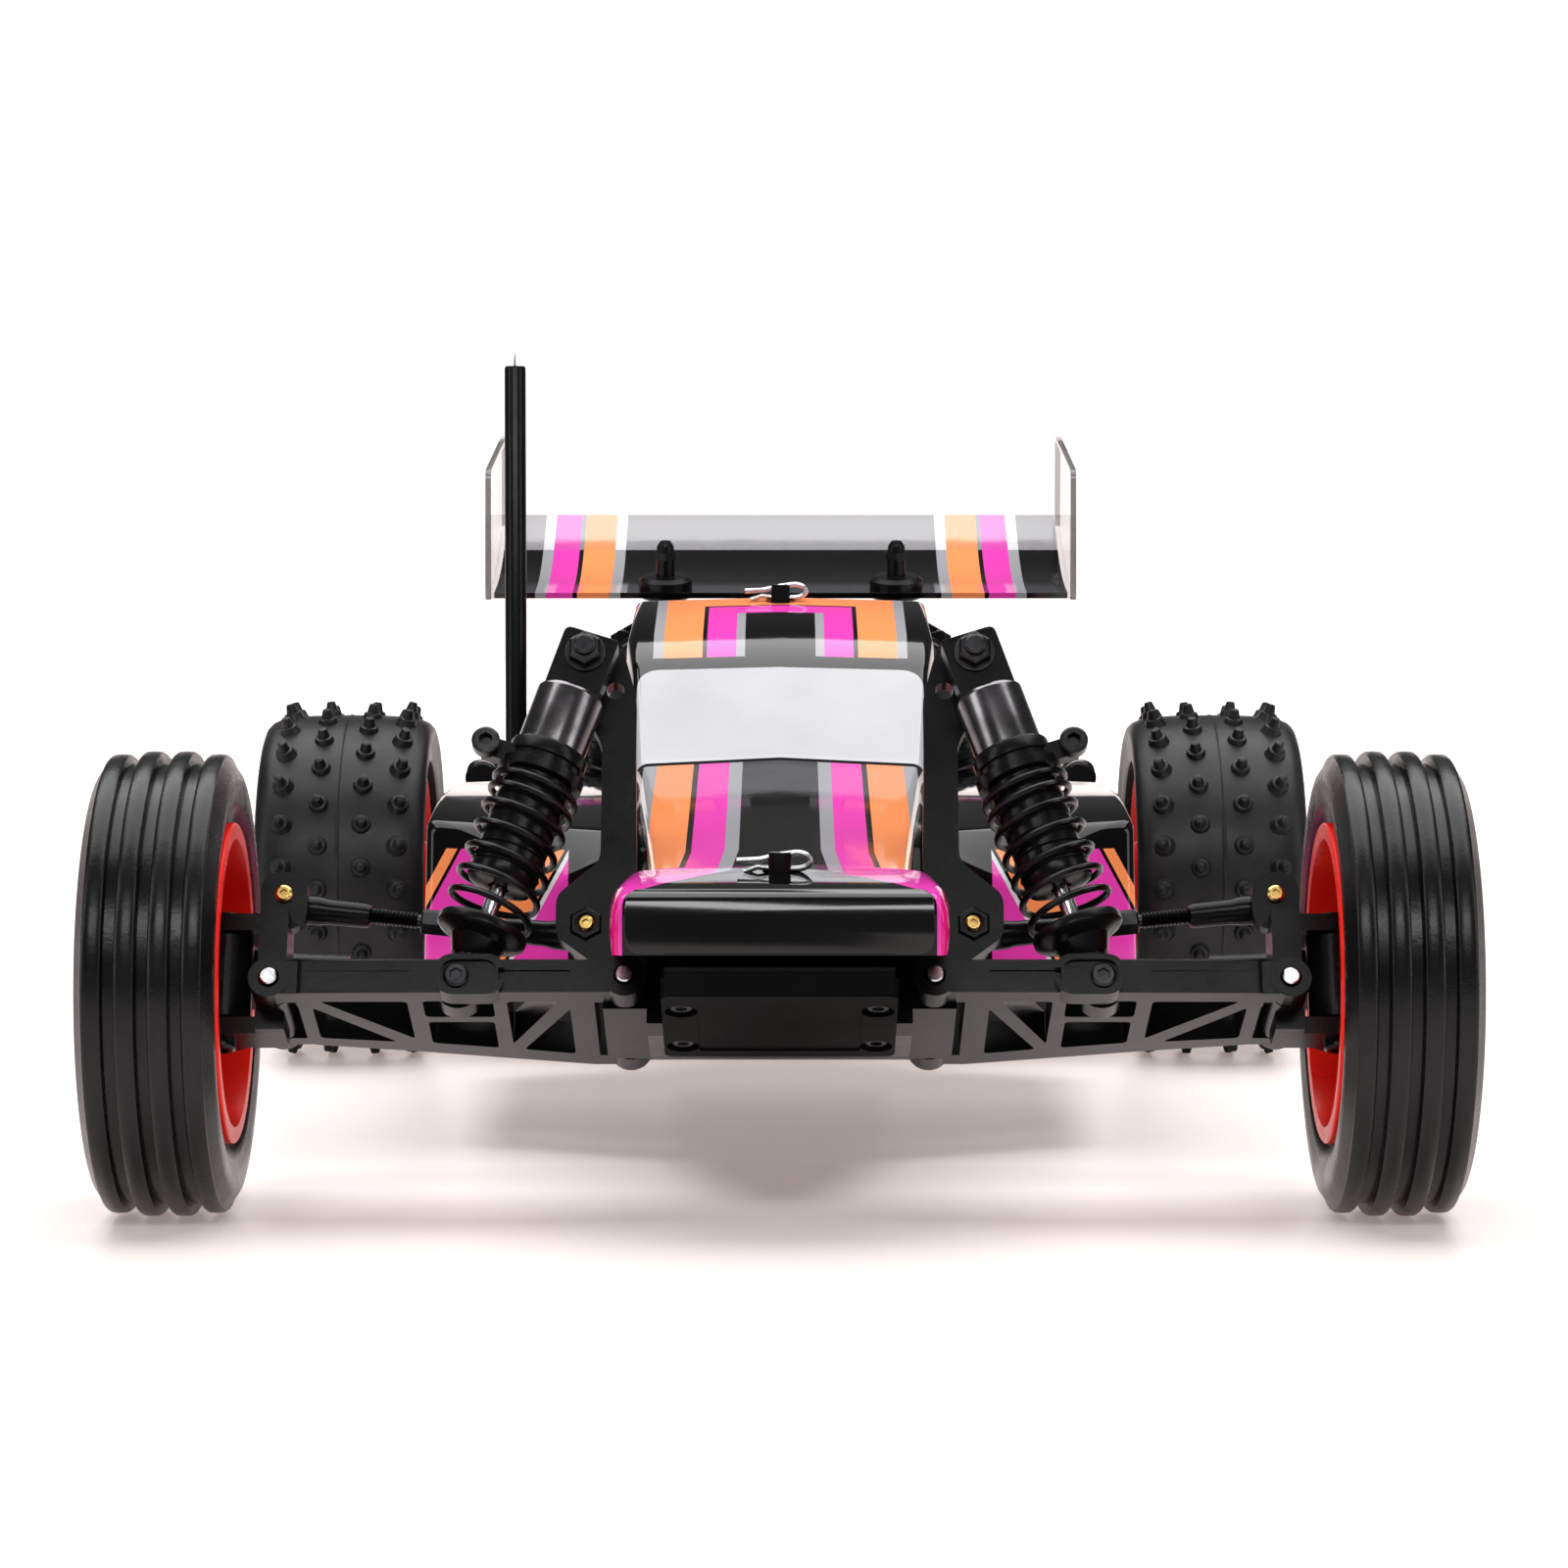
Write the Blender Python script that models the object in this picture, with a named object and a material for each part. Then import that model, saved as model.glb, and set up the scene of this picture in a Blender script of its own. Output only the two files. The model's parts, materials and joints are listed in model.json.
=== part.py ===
"""Radio-controlled two-wheel-drive off-road buggy, about one sixteenth of full size.

The nose points along -Y, +Z is up and the ground is z = 0. Lengths are written in
millimetres and scaled to metres when an object is made. "left" is the driver's left, +X.
Each axle has its own working frame (x, s, t): x across the car, s backwards along the
suspension hinges, t upwards at right angles to them. The front frame is kicked up.
"""
import math

import bmesh
import bpy
from mathutils import Matrix, Vector

# ---- driving dimensions -----------------------------------------------------------------
MM = 0.001
FRONT_AXLE_Y = -95.0
REAR_AXLE_Y = 79.0
AXLE_Z = 27.5
WHEEL_OUTER_X = 80.0
FRONT_TYRE_WIDTH = 16.0
REAR_TYRE_WIDTH = 26.0
TYRE_RADIUS = 27.5
KICK_UP = math.radians(25.0)

FRONT_PIN_X = 18.0
FRONT_OUTER_PIN_X = 59.3
KINGPIN_X = 65.7
KINGPIN_S = -1.5
REAR_PIN_X = 14.0
REAR_OUTER_PIN_X = 44.0
PIN_RADIUS = 1.0
PIN_HOLE_RADIUS = 1.3
CAMBER_INNER_FRONT = (23.0, 1.2, 9.9)
CAMBER_OUTER_FRONT = (59.0, 1.2, 13.8)
CAMBER_INNER_REAR = (20.0, -9.0, 26.0)
CAMBER_OUTER_REAR = (46.0, -9.0, 25.6)
TIE_ROD_OUTER = (64.0, 8.5, 8.8)
TIE_ROD_INNER_X = 4.0
HORN_LENGTH = 9.0

SHOCK_TOP_FRONT = (23.1, -7.8, 43.4)
SHOCK_EYE_FRONT = (37.5, -7.8, 0.0)
SHOCK_TOP_REAR = (22.0, -19.5, 46.0)
SHOCK_EYE_REAR = (34.0, -19.5, 2.0)
SPRING_TOP = 16.8
SPRING_END = 36.9
SPRING_RADIUS = 5.15
SPRING_WIRE = 1.0

GEAR_MODULE = 0.6
DIFF_TEETH = 40
TOP_SHAFT_TEETH = 14
SPUR_TEETH = 38
PINION_TEETH = 20
TOP_SHAFT_ANGLE = math.radians(84.6)
MOTOR_ANGLE = math.radians(8.0)
MOTOR_RADIUS = 10.4

FLOOR_LOW = 14.0
FLOOR_HIGH = 16.0
WALL = 1.6
RAMP_START_Y = -56.0
RAMP_SLOPE = 0.155
ANTENNA = (-37.0, 5.0)
ANTENNA_TOP = 106.0
WING_HALF_WIDTH = 46.2
SIDES = 24


def meshed_centre(centre, angle, teeth, other_teeth):
    """Where a second gear's axis lies, from the first gear's and the line between them."""
    distance = GEAR_MODULE * (teeth + other_teeth) / 2.0
    return (centre[0] + distance * math.cos(angle), centre[1] + distance * math.sin(angle))


DIFF_CENTRE = (REAR_AXLE_Y, AXLE_Z)
TOP_SHAFT_CENTRE = meshed_centre(DIFF_CENTRE, TOP_SHAFT_ANGLE, DIFF_TEETH, TOP_SHAFT_TEETH)
MOTOR_CENTRE = meshed_centre(TOP_SHAFT_CENTRE, MOTOR_ANGLE, SPUR_TEETH, PINION_TEETH)
FRONT_FRAME = (Matrix.Translation((0.0, FRONT_AXLE_Y, 23.9))
               @ Matrix.Rotation(-KICK_UP, 4, 'X'))
REAR_FRAME = Matrix.Translation((0.0, REAR_AXLE_Y, 18.0))
WORLD = Matrix.Identity(4)
MIRROR = Matrix.Scale(-1.0, 4, (1.0, 0.0, 0.0))

# ---- materials: base colour, roughness, metallic ----------------------------------------
FINISHES = {
    "satin_black_plastic": ((0.012, 0.012, 0.013), 0.42, 0.0),
    "gloss_black_shell": ((0.008, 0.008, 0.010), 0.08, 0.0),
    "smoked_clear_wing": ((0.030, 0.030, 0.034), 0.10, 0.0),
    "red_rim_plastic": ((0.800, 0.030, 0.015), 0.35, 0.0),
    "tyre_rubber": ((0.020, 0.020, 0.021), 0.60, 0.0),
    "gunmetal_damper": ((0.110, 0.105, 0.110), 0.25, 1.0),
    "bright_steel": ((0.600, 0.600, 0.610), 0.25, 1.0),
    "black_spring_steel": ((0.015, 0.015, 0.016), 0.35, 0.4),
    "brass_ball": ((0.750, 0.520, 0.200), 0.25, 1.0),
    "motor_can_steel": ((0.420, 0.420, 0.430), 0.35, 1.0),
    "white_nylon": ((0.780, 0.780, 0.760), 0.50, 0.0),
    "battery_wrap": ((0.050, 0.120, 0.450), 0.35, 0.0),
    "woven_strap": ((0.020, 0.020, 0.022), 0.80, 0.0),
    "electronics_case": ((0.030, 0.030, 0.034), 0.50, 0.0),
}


def clear_scene():
    for obj in list(bpy.data.objects):
        bpy.data.objects.remove(obj, do_unlink=True)


def material(name):
    found = bpy.data.materials.get(name)
    if found:
        return found
    colour, roughness, metallic = FINISHES[name]
    made = bpy.data.materials.new(name)
    made.use_nodes = True
    shader = made.node_tree.nodes["Principled BSDF"]
    shader.inputs["Base Color"].default_value = (*colour, 1.0)
    shader.inputs["Roughness"].default_value = roughness
    shader.inputs["Metallic"].default_value = metallic
    made.diffuse_color = (*colour, 1.0)
    return made


# ---- shapes: closed polyhedra held as (corners, faces) ----------------------------------
def slab(outline, plane, low, high):
    """A flat outline in the named plane, extruded along the third axis."""
    order = {"xs": (0, 1, 2), "xt": (0, 2, 1), "st": (1, 2, 0)}[plane]
    corners = []
    for level in (low, high):
        for first, second in outline:
            corner = [0.0, 0.0, 0.0]
            corner[order[0]] = first
            corner[order[1]] = second
            corner[order[2]] = level
            corners.append(Vector(corner))
    count = len(outline)
    faces = [list(range(count)), list(range(count, 2 * count))]
    for i in range(count):
        j = (i + 1) % count
        faces.append([i, j, count + j, count + i])
    return corners, faces


def box(low, high):
    outline = [(low[0], low[1]), (high[0], low[1]), (high[0], high[1]), (low[0], high[1])]
    return slab(outline, "xs", low[2], high[2])


def chamfered_box(low, high, cut):
    """A box whose four upright edges are chamfered."""
    x0, y0, x1, y1 = low[0], low[1], high[0], high[1]
    outline = [(x0 + cut, y0), (x1 - cut, y0), (x1, y0 + cut), (x1, y1 - cut),
               (x1 - cut, y1), (x0 + cut, y1), (x0, y1 - cut), (x0, y0 + cut)]
    return slab(outline, "xs", low[2], high[2])


def turned(profile, start, direction, sides=SIDES, closed=False):
    """Turns (distance, radius) points about an axis; a closed profile makes a ring."""
    spin = Vector(direction).to_track_quat('Z', 'Y')
    corners = []
    for distance, radius in profile:
        for k in range(sides):
            angle = 2.0 * math.pi * (k + 0.5) / sides
            local = Vector((radius * math.cos(angle), radius * math.sin(angle), distance))
            corners.append(Vector(start) + spin @ local)
    faces = []
    rows = len(profile)
    for i in range(rows if closed else rows - 1):
        j = (i + 1) % rows
        for k in range(sides):
            m = (k + 1) % sides
            faces.append([i * sides + k, i * sides + m, j * sides + m, j * sides + k])
    if not closed:
        faces.append(list(range(sides)))
        faces.append(list(range((rows - 1) * sides, rows * sides)))
    return corners, faces


def rod(start, end, radius, end_radius=None, sides=8):
    length = (Vector(end) - Vector(start)).length
    last = radius if end_radius is None else end_radius
    return turned([(0.0, radius), (length, last)], start, Vector(end) - Vector(start), sides)


def ball(centre, radius, direction=(0, 0, 1), sides=8):
    steps = 5
    profile = []
    for i in range(1, steps):
        angle = math.pi * i / steps
        profile.append((-radius * math.cos(angle), radius * math.sin(angle)))
    return turned(profile, centre, direction, sides)


def coil(start, direction, length, turns, radius, wire, steps=7, sides=3):
    """An open helical wire with flat ends, along an axis."""
    spin = Vector(direction).to_track_quat('Z', 'Y')
    total = int(turns * steps)
    corners = []
    for i in range(total + 1):
        angle = 2.0 * math.pi * i / steps
        outward = Vector((math.cos(angle), math.sin(angle), 0.0))
        centre = outward * radius + Vector((0.0, 0.0, length * i / total))
        for k in range(sides):
            around = 2.0 * math.pi * k / sides
            offset = outward * math.cos(around) + Vector((0.0, 0.0, math.sin(around)))
            corners.append(Vector(start) + spin @ (centre + offset * wire / 2.0))
    faces = []
    for i in range(total):
        for k in range(sides):
            m = (k + 1) % sides
            faces.append([i * sides + k, i * sides + m,
                          (i + 1) * sides + m, (i + 1) * sides + k])
    faces.append(list(range(sides)))
    faces.append(list(range(total * sides, (total + 1) * sides)))
    return corners, faces


def placed(shape, frame):
    return [frame @ corner for corner in shape[0]], shape[1]


def temporary(shape):
    """An unscaled object holding one closed shape, faces outward."""
    mesh = bpy.data.meshes.new("shape")
    builder = bmesh.new()
    corners = [builder.verts.new(corner) for corner in shape[0]]
    for face in shape[1]:
        builder.faces.new([corners[i] for i in face])
    bmesh.ops.recalc_face_normals(builder, faces=builder.faces)
    builder.to_mesh(mesh)
    builder.free()
    obj = bpy.data.objects.new("shape", mesh)
    bpy.context.scene.collection.objects.link(obj)
    return obj


def evaluated_mesh(obj):
    bpy.context.view_layer.update()
    graph = bpy.context.evaluated_depsgraph_get()
    return bpy.data.meshes.new_from_object(obj.evaluated_get(graph))


def is_closed(mesh):
    """Whether every edge of the mesh is shared by exactly two faces."""
    builder = bmesh.new()
    builder.from_mesh(mesh)
    closed = len(builder.faces) > 0 and all(len(edge.link_faces) == 2 for edge in builder.edges)
    builder.free()
    return closed


def solid(name, finish, shapes, cuts=(), frame=WORLD, side=1, pivot=(0, 0, 0)):
    """Unites the shapes, takes the cuts away and leaves one named object.

    pivot is a point in the same frame, and becomes the object's origin. side -1 mirrors
    the whole piece to the car's right.
    """
    to_car = MIRROR @ frame if side < 0 else frame
    helpers = [temporary(placed(shape, to_car)) for shape in list(shapes) + list(cuts)]
    body = helpers[0]
    joins = []
    for number, helper in enumerate(helpers[1:], start=1):
        join = body.modifiers.new("join", 'BOOLEAN')
        join.operation = 'UNION' if number < len(shapes) else 'DIFFERENCE'
        join.object = helper
        joins.append(join)
    mesh = evaluated_mesh(body)
    if not is_closed(mesh):
        for join in joins:
            join.solver = 'MANIFOLD'
        mesh = evaluated_mesh(body)
    for helper in helpers:
        bpy.data.objects.remove(helper, do_unlink=True)
    origin = to_car @ Vector(pivot)
    mesh.transform(Matrix.Scale(MM, 4) @ Matrix.Translation(-origin))
    mesh.name = name
    mesh.materials.clear()
    mesh.materials.append(material(finish))
    mesh.shade_smooth()
    mesh.set_sharp_from_angle(angle=math.radians(35.0))
    obj = bpy.data.objects.new(name, mesh)
    obj.location = origin * MM
    bpy.context.scene.collection.objects.link(obj)
    return obj


# ---- chassis and front structure ---------------------------------------------------------
def build_chassis():
    """A shallow tub whose narrow front end ramps up towards the bulkhead."""
    outline = [(-16.6, RAMP_START_Y), (16.6, RAMP_START_Y), (17, -50), (44, -34), (46, -28),
               (46, 40), (43, 46), (20, 54), (17.5, 60.8), (-17.5, 60.8), (-20, 54), (-43, 46),
               (-46, 40), (-46, -28), (-44, -34), (-17, -50)]
    inside = [(x - math.copysign(WALL, x), y + WALL if y < 0 else y - WALL)
              for x, y in outline]
    tub = slab(outline, "xs", FLOOR_LOW, 23.6)
    hollow = slab(inside, "xs", FLOOR_HIGH, 30.0)
    mouth = box((-15.0, RAMP_START_Y - 1.0, FLOOR_HIGH), (15.0, -50.0, 30.0))
    rise = Matrix.Identity(4)
    rise[2][1] = -RAMP_SLOPE
    rise[2][3] = RAMP_SLOPE * RAMP_START_Y
    ramp_outline = [(-12.6, -82), (12.6, -82), (16.6, RAMP_START_Y + 0.5),
                    (-16.6, RAMP_START_Y + 0.5)]
    ramp = placed(slab(ramp_outline, "xs", FLOOR_LOW, 19.6), rise)
    ramp_inside = [(-11.0, -90), (11.0, -90), (15.0, RAMP_START_Y + 2.0),
                   (-15.0, RAMP_START_Y + 2.0)]
    ramp_hollow = placed(slab(ramp_inside, "xs", FLOOR_HIGH, 30.0), rise)
    strap_slots = [box((side * 19 - 1.2, 13, 12), (side * 19 + 1.2, 23, 17)) for side in (-1, 1)]
    solid("chassis", "satin_black_plastic", [tub, ramp],
          [hollow, mouth, ramp_hollow] + strap_slots)


def build_front_bulkhead():
    block = slab([(-9, -4.4), (-4.6, -4.4), (8.6, -2.6), (8.6, 4), (-9, 4)], "st", -15.5, 15.5)
    lugs = box((-20.6, -9, -2.6), (20.6, 9, 2.6))
    kick_plate = box((-13.0, -23.6, -4.4), (13.0, -8, -2.4))
    nose_frame = box((-8, -20, -3), (8, -8, 1.6))
    pins = [rod((side * FRONT_PIN_X, -14, 0), (side * FRONT_PIN_X, 14, 0), PIN_RADIUS)
            for side in (-1, 1)]
    to_kick = FRONT_FRAME.inverted()
    post = placed(rod((0, -103.5, 25), (0, -103.5, 43.6), 1.6, 1.4), to_kick)
    tower_pad = box((-14.5, -1.0, 3.5), (14.5, 3.2, 9.5))
    solid("front_bulkhead", "satin_black_plastic",
          [block, lugs, kick_plate, nose_frame, post, tower_pad] + pins, frame=FRONT_FRAME)


def build_front_bumper():
    plate = box((-13.4, -26.6, -7.3), (13.4, -5.6, -4.8))
    lip = slab([(-28.6, -5.0), (-26.8, -7.2), (-25.0, -7.2), (-25.0, -4.9), (-27.0, -4.2),
                (-28.2, -4.3)], "st", -13.0, 13.0)
    recesses = [rod((x, s, -8), (x, s, -6.3), 2.0) for x in (-11.2, 11.2) for s in (-21.4, -9.2)]
    solid("front_bumper", "satin_black_plastic", [plate, lip], recesses, frame=FRONT_FRAME)


def build_front_tower():
    leg = [(14.0, 4.5), (14.0, 9.0), (16.9, 9.6), (17.3, 30), (17.3, 39), (19.0, 45.4), (22.6, 47.2),
           (25.6, 45.8), (26.6, 42.6), (21.4, 33.0), (21.4, 18.0), (26.6, 13.6), (26.6, 8.4),
           (23.4, 6.0), (21.6, 4.5)]
    mirrored = [(-x, t) for x, t in leg]
    plates = [slab(points, "xt", -3.7, -1.4) for points in (leg, mirrored)]
    brace = box((-14.4, -3.6, 4.6), (14.4, -1.5, 8.9))
    studs = []
    holes = []
    for side in (-1, 1):
        studs.append(rod((side * CAMBER_INNER_FRONT[0], -1.6, CAMBER_INNER_FRONT[2]),
                         (side * CAMBER_INNER_FRONT[0], -1.1, CAMBER_INNER_FRONT[2]), 1.2))
        holes.append(rod((side * 19.9, -5, 40.0), (side * 19.9, 0, 40.0), 1.1))
    solid("front_shock_tower", "satin_black_plastic", [brace] + plates + studs, holes,
          frame=FRONT_FRAME)


# ---- front corner -------------------------------------------------------------------------
def front_arm(side, label):
    deck = slab([(21.6, -13.2), (56.2, -12.8), (56.2, 5.6), (44, 8.0), (21.6, 13.2)],
                "xs", -2.0, 2.0)
    shapes = [deck]
    for low, high in ((-13.6, -9.5), (9.5, 13.6)):
        shapes.append(rod((FRONT_PIN_X, low, 0), (FRONT_PIN_X, high, 0), 2.6))
    shapes.append(box((18, -13.2, -2), (22.4, -9.5, 2)))
    shapes.append(box((18, 9.5, -2), (22.4, 13.0, 2)))
    for low, high in ((-12.8, -9.4), (3.2, 6.4)):
        shapes.append(rod((FRONT_OUTER_PIN_X, low, 0), (FRONT_OUTER_PIN_X, high, 0), 2.4))
    shapes.append(box((55.8, -12.6, -2), (59.3, -9.4, 2)))
    shapes.append(box((55.8, 3.2, -2), (59.3, 5.6, 2)))
    shapes.append(rod((SHOCK_EYE_FRONT[0], -13.9, 0), (SHOCK_EYE_FRONT[0], -10.4, 0), 3.1))
    windows = [
        [(24.5, -7.2), (24.5, 9.0), (30.6, 7.4)], [(25.8, -9.8), (31.8, -9.8), (31.8, 5.4)],
        [(33.4, -10.0), (41.6, -10.0), (41.6, -4.4), (33.4, -4.4)],
        [(33.6, -2.6), (41.4, -2.6), (41.4, 5.0), (33.6, 6.8)],
        [(43.4, -9.8), (53.6, -9.8), (43.4, 3.4)], [(54.6, -7.6), (54.6, 3.2), (45.6, 4.6)]]
    cuts = [slab(points, "xs", -4, 4) for points in windows]
    cuts.append(rod((FRONT_PIN_X, -15, 0), (FRONT_PIN_X, 15, 0), PIN_HOLE_RADIUS))
    cuts.append(rod((FRONT_OUTER_PIN_X, -14, 0), (FRONT_OUTER_PIN_X, 8, 0), PIN_HOLE_RADIUS))
    solid(f"front_arm_{label}", "satin_black_plastic", shapes, cuts, FRONT_FRAME, side,
          (FRONT_PIN_X, 0, 0))


def front_caster_block(side, label):
    top, bottom = 8.7, -2.1
    shapes = [rod((FRONT_OUTER_PIN_X, -9.0, 0), (FRONT_OUTER_PIN_X, 2.8, 0), 2.4),
              box((58.0, -6.4, -4.2), (61.4, 0.4, 10.8))]
    for low, high in ((top, 10.8), (-4.2, bottom)):
        shapes.append(box((60.8, -4.9, low), (KINGPIN_X, 0.4, high)))
        shapes.append(rod((KINGPIN_X, KINGPIN_S, low), (KINGPIN_X, KINGPIN_S, high), 3.3))
    shapes.append(rod((KINGPIN_X, KINGPIN_S, -5.0), (KINGPIN_X, KINGPIN_S, 11.7), 0.9))
    shapes.append(rod((KINGPIN_X, KINGPIN_S, 10.7), (KINGPIN_X, KINGPIN_S, 11.9), 1.6))
    shapes.append(rod((KINGPIN_X, KINGPIN_S, -5.3), (KINGPIN_X, KINGPIN_S, -4.1), 1.6))
    stud_x, stud_t = CAMBER_OUTER_FRONT[0], CAMBER_OUTER_FRONT[2]
    shapes.append(box((56.2, -3.2, 9.6), (61.8, -1.4, stud_t)))
    shapes.append(rod((stud_x, -3.2, stud_t), (stud_x, -1.4, stud_t), 2.8))
    shapes.append(rod((stud_x, -1.5, stud_t), (stud_x, -1.1, stud_t), 1.2))
    shapes.append(rod((FRONT_OUTER_PIN_X, -13.2, 0), (FRONT_OUTER_PIN_X, 6.8, 0), PIN_RADIUS))
    solid(f"caster_block_{label}", "satin_black_plastic", shapes, [], FRONT_FRAME, side,
          (FRONT_OUTER_PIN_X, 0, 0))


def front_knuckle(side, label):
    axle_t = 3.26
    shapes = [rod((KINGPIN_X, KINGPIN_S, -1.8), (KINGPIN_X, KINGPIN_S, 8.4), 3.2),
              rod((KINGPIN_X, KINGPIN_S, axle_t), (70.4, KINGPIN_S, axle_t), 3.5),
              rod((70.0, KINGPIN_S, axle_t), (79.4, KINGPIN_S, axle_t), 1.5)]
    tail = [(64.0, KINGPIN_S), (67.4, KINGPIN_S), (65.9, 8.5), (62.1, 8.5)]
    shapes.append(slab(tail, "xs", 4.1, 5.7))
    shapes.append(rod((64.0, 8.5, 4.1), (64.0, 8.5, 5.7), 2.1))
    cuts = [rod((KINGPIN_X, KINGPIN_S, -3), (KINGPIN_X, KINGPIN_S, 10), 1.25)]
    solid(f"steering_knuckle_{label}", "satin_black_plastic", shapes, cuts, FRONT_FRAME, side,
          (KINGPIN_X, KINGPIN_S, axle_t))


def camber_link(side, label, end, frame, inner, outer):
    shapes = []
    for centre in (inner, outer):
        shapes.append(rod((centre[0], centre[1] - 1.9, centre[2]),
                          (centre[0], centre[1] + 1.9, centre[2]), 2.7))
    across = (Vector(outer) - Vector(inner)).normalized()
    shapes.append(rod(Vector(inner) + across, Vector(outer) - across, 1.5))
    solid(f"{end}_camber_link_{label}", "satin_black_plastic", shapes, [], frame, side, inner)


def tie_rod(side, label):
    inner = (TIE_ROD_INNER_X, TIE_ROD_OUTER[1], TIE_ROD_OUTER[2])
    socket = turned([(-1.8, 3.0), (1.8, 3.0), (1.8, 2.25), (-1.8, 2.25)], inner, (0, 1, 0),
                    12, closed=True)
    start = (inner[0] + 2.6, inner[1], inner[2])
    shapes = [socket, rod(start, TIE_ROD_OUTER, 1.3),
              rod((TIE_ROD_OUTER[0], TIE_ROD_OUTER[1], 7.3),
                  (TIE_ROD_OUTER[0], TIE_ROD_OUTER[1], 10.6), 2.5)]
    solid(f"tie_rod_{label}", "satin_black_plastic", shapes, [], FRONT_FRAME, side, inner)
    centre = FRONT_FRAME @ Vector(inner)
    stud = [ball(centre, 1.9, (0, 1, 0)),
            rod(centre, (centre[0], centre[1] + 2.7, centre[2]), 0.9)]
    solid(f"tie_rod_ball_{label}", "brass_ball", stud, [], WORLD, side, centre)


def build_front_corner(side, label):
    front_arm(side, label)
    front_caster_block(side, label)
    front_knuckle(side, label)
    camber_link(side, label, "front", FRONT_FRAME, CAMBER_INNER_FRONT, CAMBER_OUTER_FRONT)
    tie_rod(side, label)
    damper(side, label, "front", FRONT_FRAME, SHOCK_TOP_FRONT, SHOCK_EYE_FRONT)
    front_wheel(side, label)


# ---- dampers and springs --------------------------------------------------------------------
def damper(side, label, end, frame, top, eye_centre):
    """Body, shaft and spring, from the tower's mount down to the arm's screw."""
    along = (Vector(eye_centre) - Vector(top)).normalized()
    length = (Vector(eye_centre) - Vector(top)).length
    outward = Vector((along.z, 0, -along.x)) * -1.0
    s = top[1]

    def at(distance):
        return Vector(top) + along * distance

    corners = [at(-3.8) - outward * 3.0, at(-3.8) + outward * 2.2, at(-2.4) + outward * 4.0,
               at(8.0) + outward * 4.0, at(8.0) - outward * 4.0, at(-2.6) - outward * 4.0]
    tab = slab([(corner.x, corner.z) for corner in corners], "xt", s - 1.6, s + 1.6)
    boss = rod((top[0], s, top[2]), (top[0], s + 3.5, top[2]), 2.6)
    barrel = turned([(6.8, 4.1), (13.4, 4.1), (13.6, 4.6), (16.4, 4.6), (16.5, 4.15),
                     (30.0, 4.15)], top, along, 12)
    ear = [at(13.6) + outward * 3.0, at(13.6) + outward * 6.6, at(16.4) + outward * 6.6,
           at(16.4) + outward * 3.0]
    ear_plate = slab([(corner.x, corner.z) for corner in ear], "xt", s - 2.6, s - 0.4)
    bore = rod(at(19.0), at(31.0), 1.35)
    solid(f"{end}_shock_body_{label}", "gunmetal_damper", [barrel, tab, boss, ear_plate],
          [bore], frame, side, top)

    cup = turned([(37.2, 4.6), (37.4, 5.8), (38.6, 5.8), (39.4, 3.4), (41.4, 2.6)],
                 top, along, 12)
    stem = rod(at(26.0), at(38.0), 1.0)
    link = rod(at(40.0), at(length - 1.5), 2.2)
    ring = rod((eye_centre[0], s - 1.9, eye_centre[2]), (eye_centre[0], s + 1.9, eye_centre[2]),
               2.8)
    solid(f"{end}_shock_shaft_{label}", "bright_steel", [cup, stem, link, ring], [],
          frame, side, top)
    turns = 7
    spring = coil(at(SPRING_TOP + SPRING_WIRE / 2), along,
                  SPRING_END - SPRING_TOP - SPRING_WIRE, turns, SPRING_RADIUS, SPRING_WIRE)
    solid(f"{end}_spring_{label}", "black_spring_steel", [spring], [], frame, side, top)


# ---- wheels -----------------------------------------------------------------------------------
def wheel(side, label, end, axle_y, rim_section, tyre_section, tyre_sides):
    """A rim and its tyre, both turned about the axle; gives back the tyre."""
    centre = (0.0, axle_y, AXLE_Z)
    rim = turned(rim_section, centre, (1, 0, 0), 16, closed=True)
    solid(f"{end}_rim_{label}", "red_rim_plastic", [rim], side=side, pivot=centre)
    tyre = turned(tyre_section, centre, (1, 0, 0), tyre_sides, closed=True)
    return solid(f"{end}_tyre_{label}", "tyre_rubber", [tyre], side=side, pivot=centre)


def front_wheel(side, label):
    inner = WHEEL_OUTER_X - FRONT_TYRE_WIDTH
    outer = WHEEL_OUTER_X
    rim = [(inner + 0.3, 16.8), (inner + 0.3, 19.0), (inner + 1.4, 19.0), (inner + 1.6, 17.7),
           (outer - 1.6, 17.7), (outer - 1.4, 19.0), (outer - 0.3, 19.0), (outer - 0.4, 17.4),
           (outer - 3.2, 8.0), (outer - 1.8, 5.0), (outer - 1.8, 1.85),
           (70.9, 1.85), (70.9, 4.2), (outer - 5.0, 6.0), (outer - 3.8, 16.8)]
    tread = [(inner + 1.8, 18.0), (inner + 1.8, 19.4), (inner + 0.1, 21.6),
             (inner + 0.5, 25.6)]
    rib, groove = 2.3, 1.4
    edge = inner + (FRONT_TYRE_WIDTH - 4 * rib - 3 * groove) / 2.0
    for number in range(4):
        start = edge + number * (rib + groove)
        tread += [(start + 0.2, TYRE_RADIUS if 0 < number < 3 else TYRE_RADIUS - 0.3),
                  (start + rib - 0.2, TYRE_RADIUS if 0 < number < 3 else TYRE_RADIUS - 0.3)]
        if number < 3:
            tread += [(start + rib, 26.1), (start + rib + groove, 26.1)]
    tread += [(outer - 0.5, 25.6), (outer - 0.0, 22.2), (outer - 1.8, 19.4),
              (outer - 1.8, 18.0)]
    wheel(side, label, "front", FRONT_AXLE_Y, rim, tread, 22)


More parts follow.
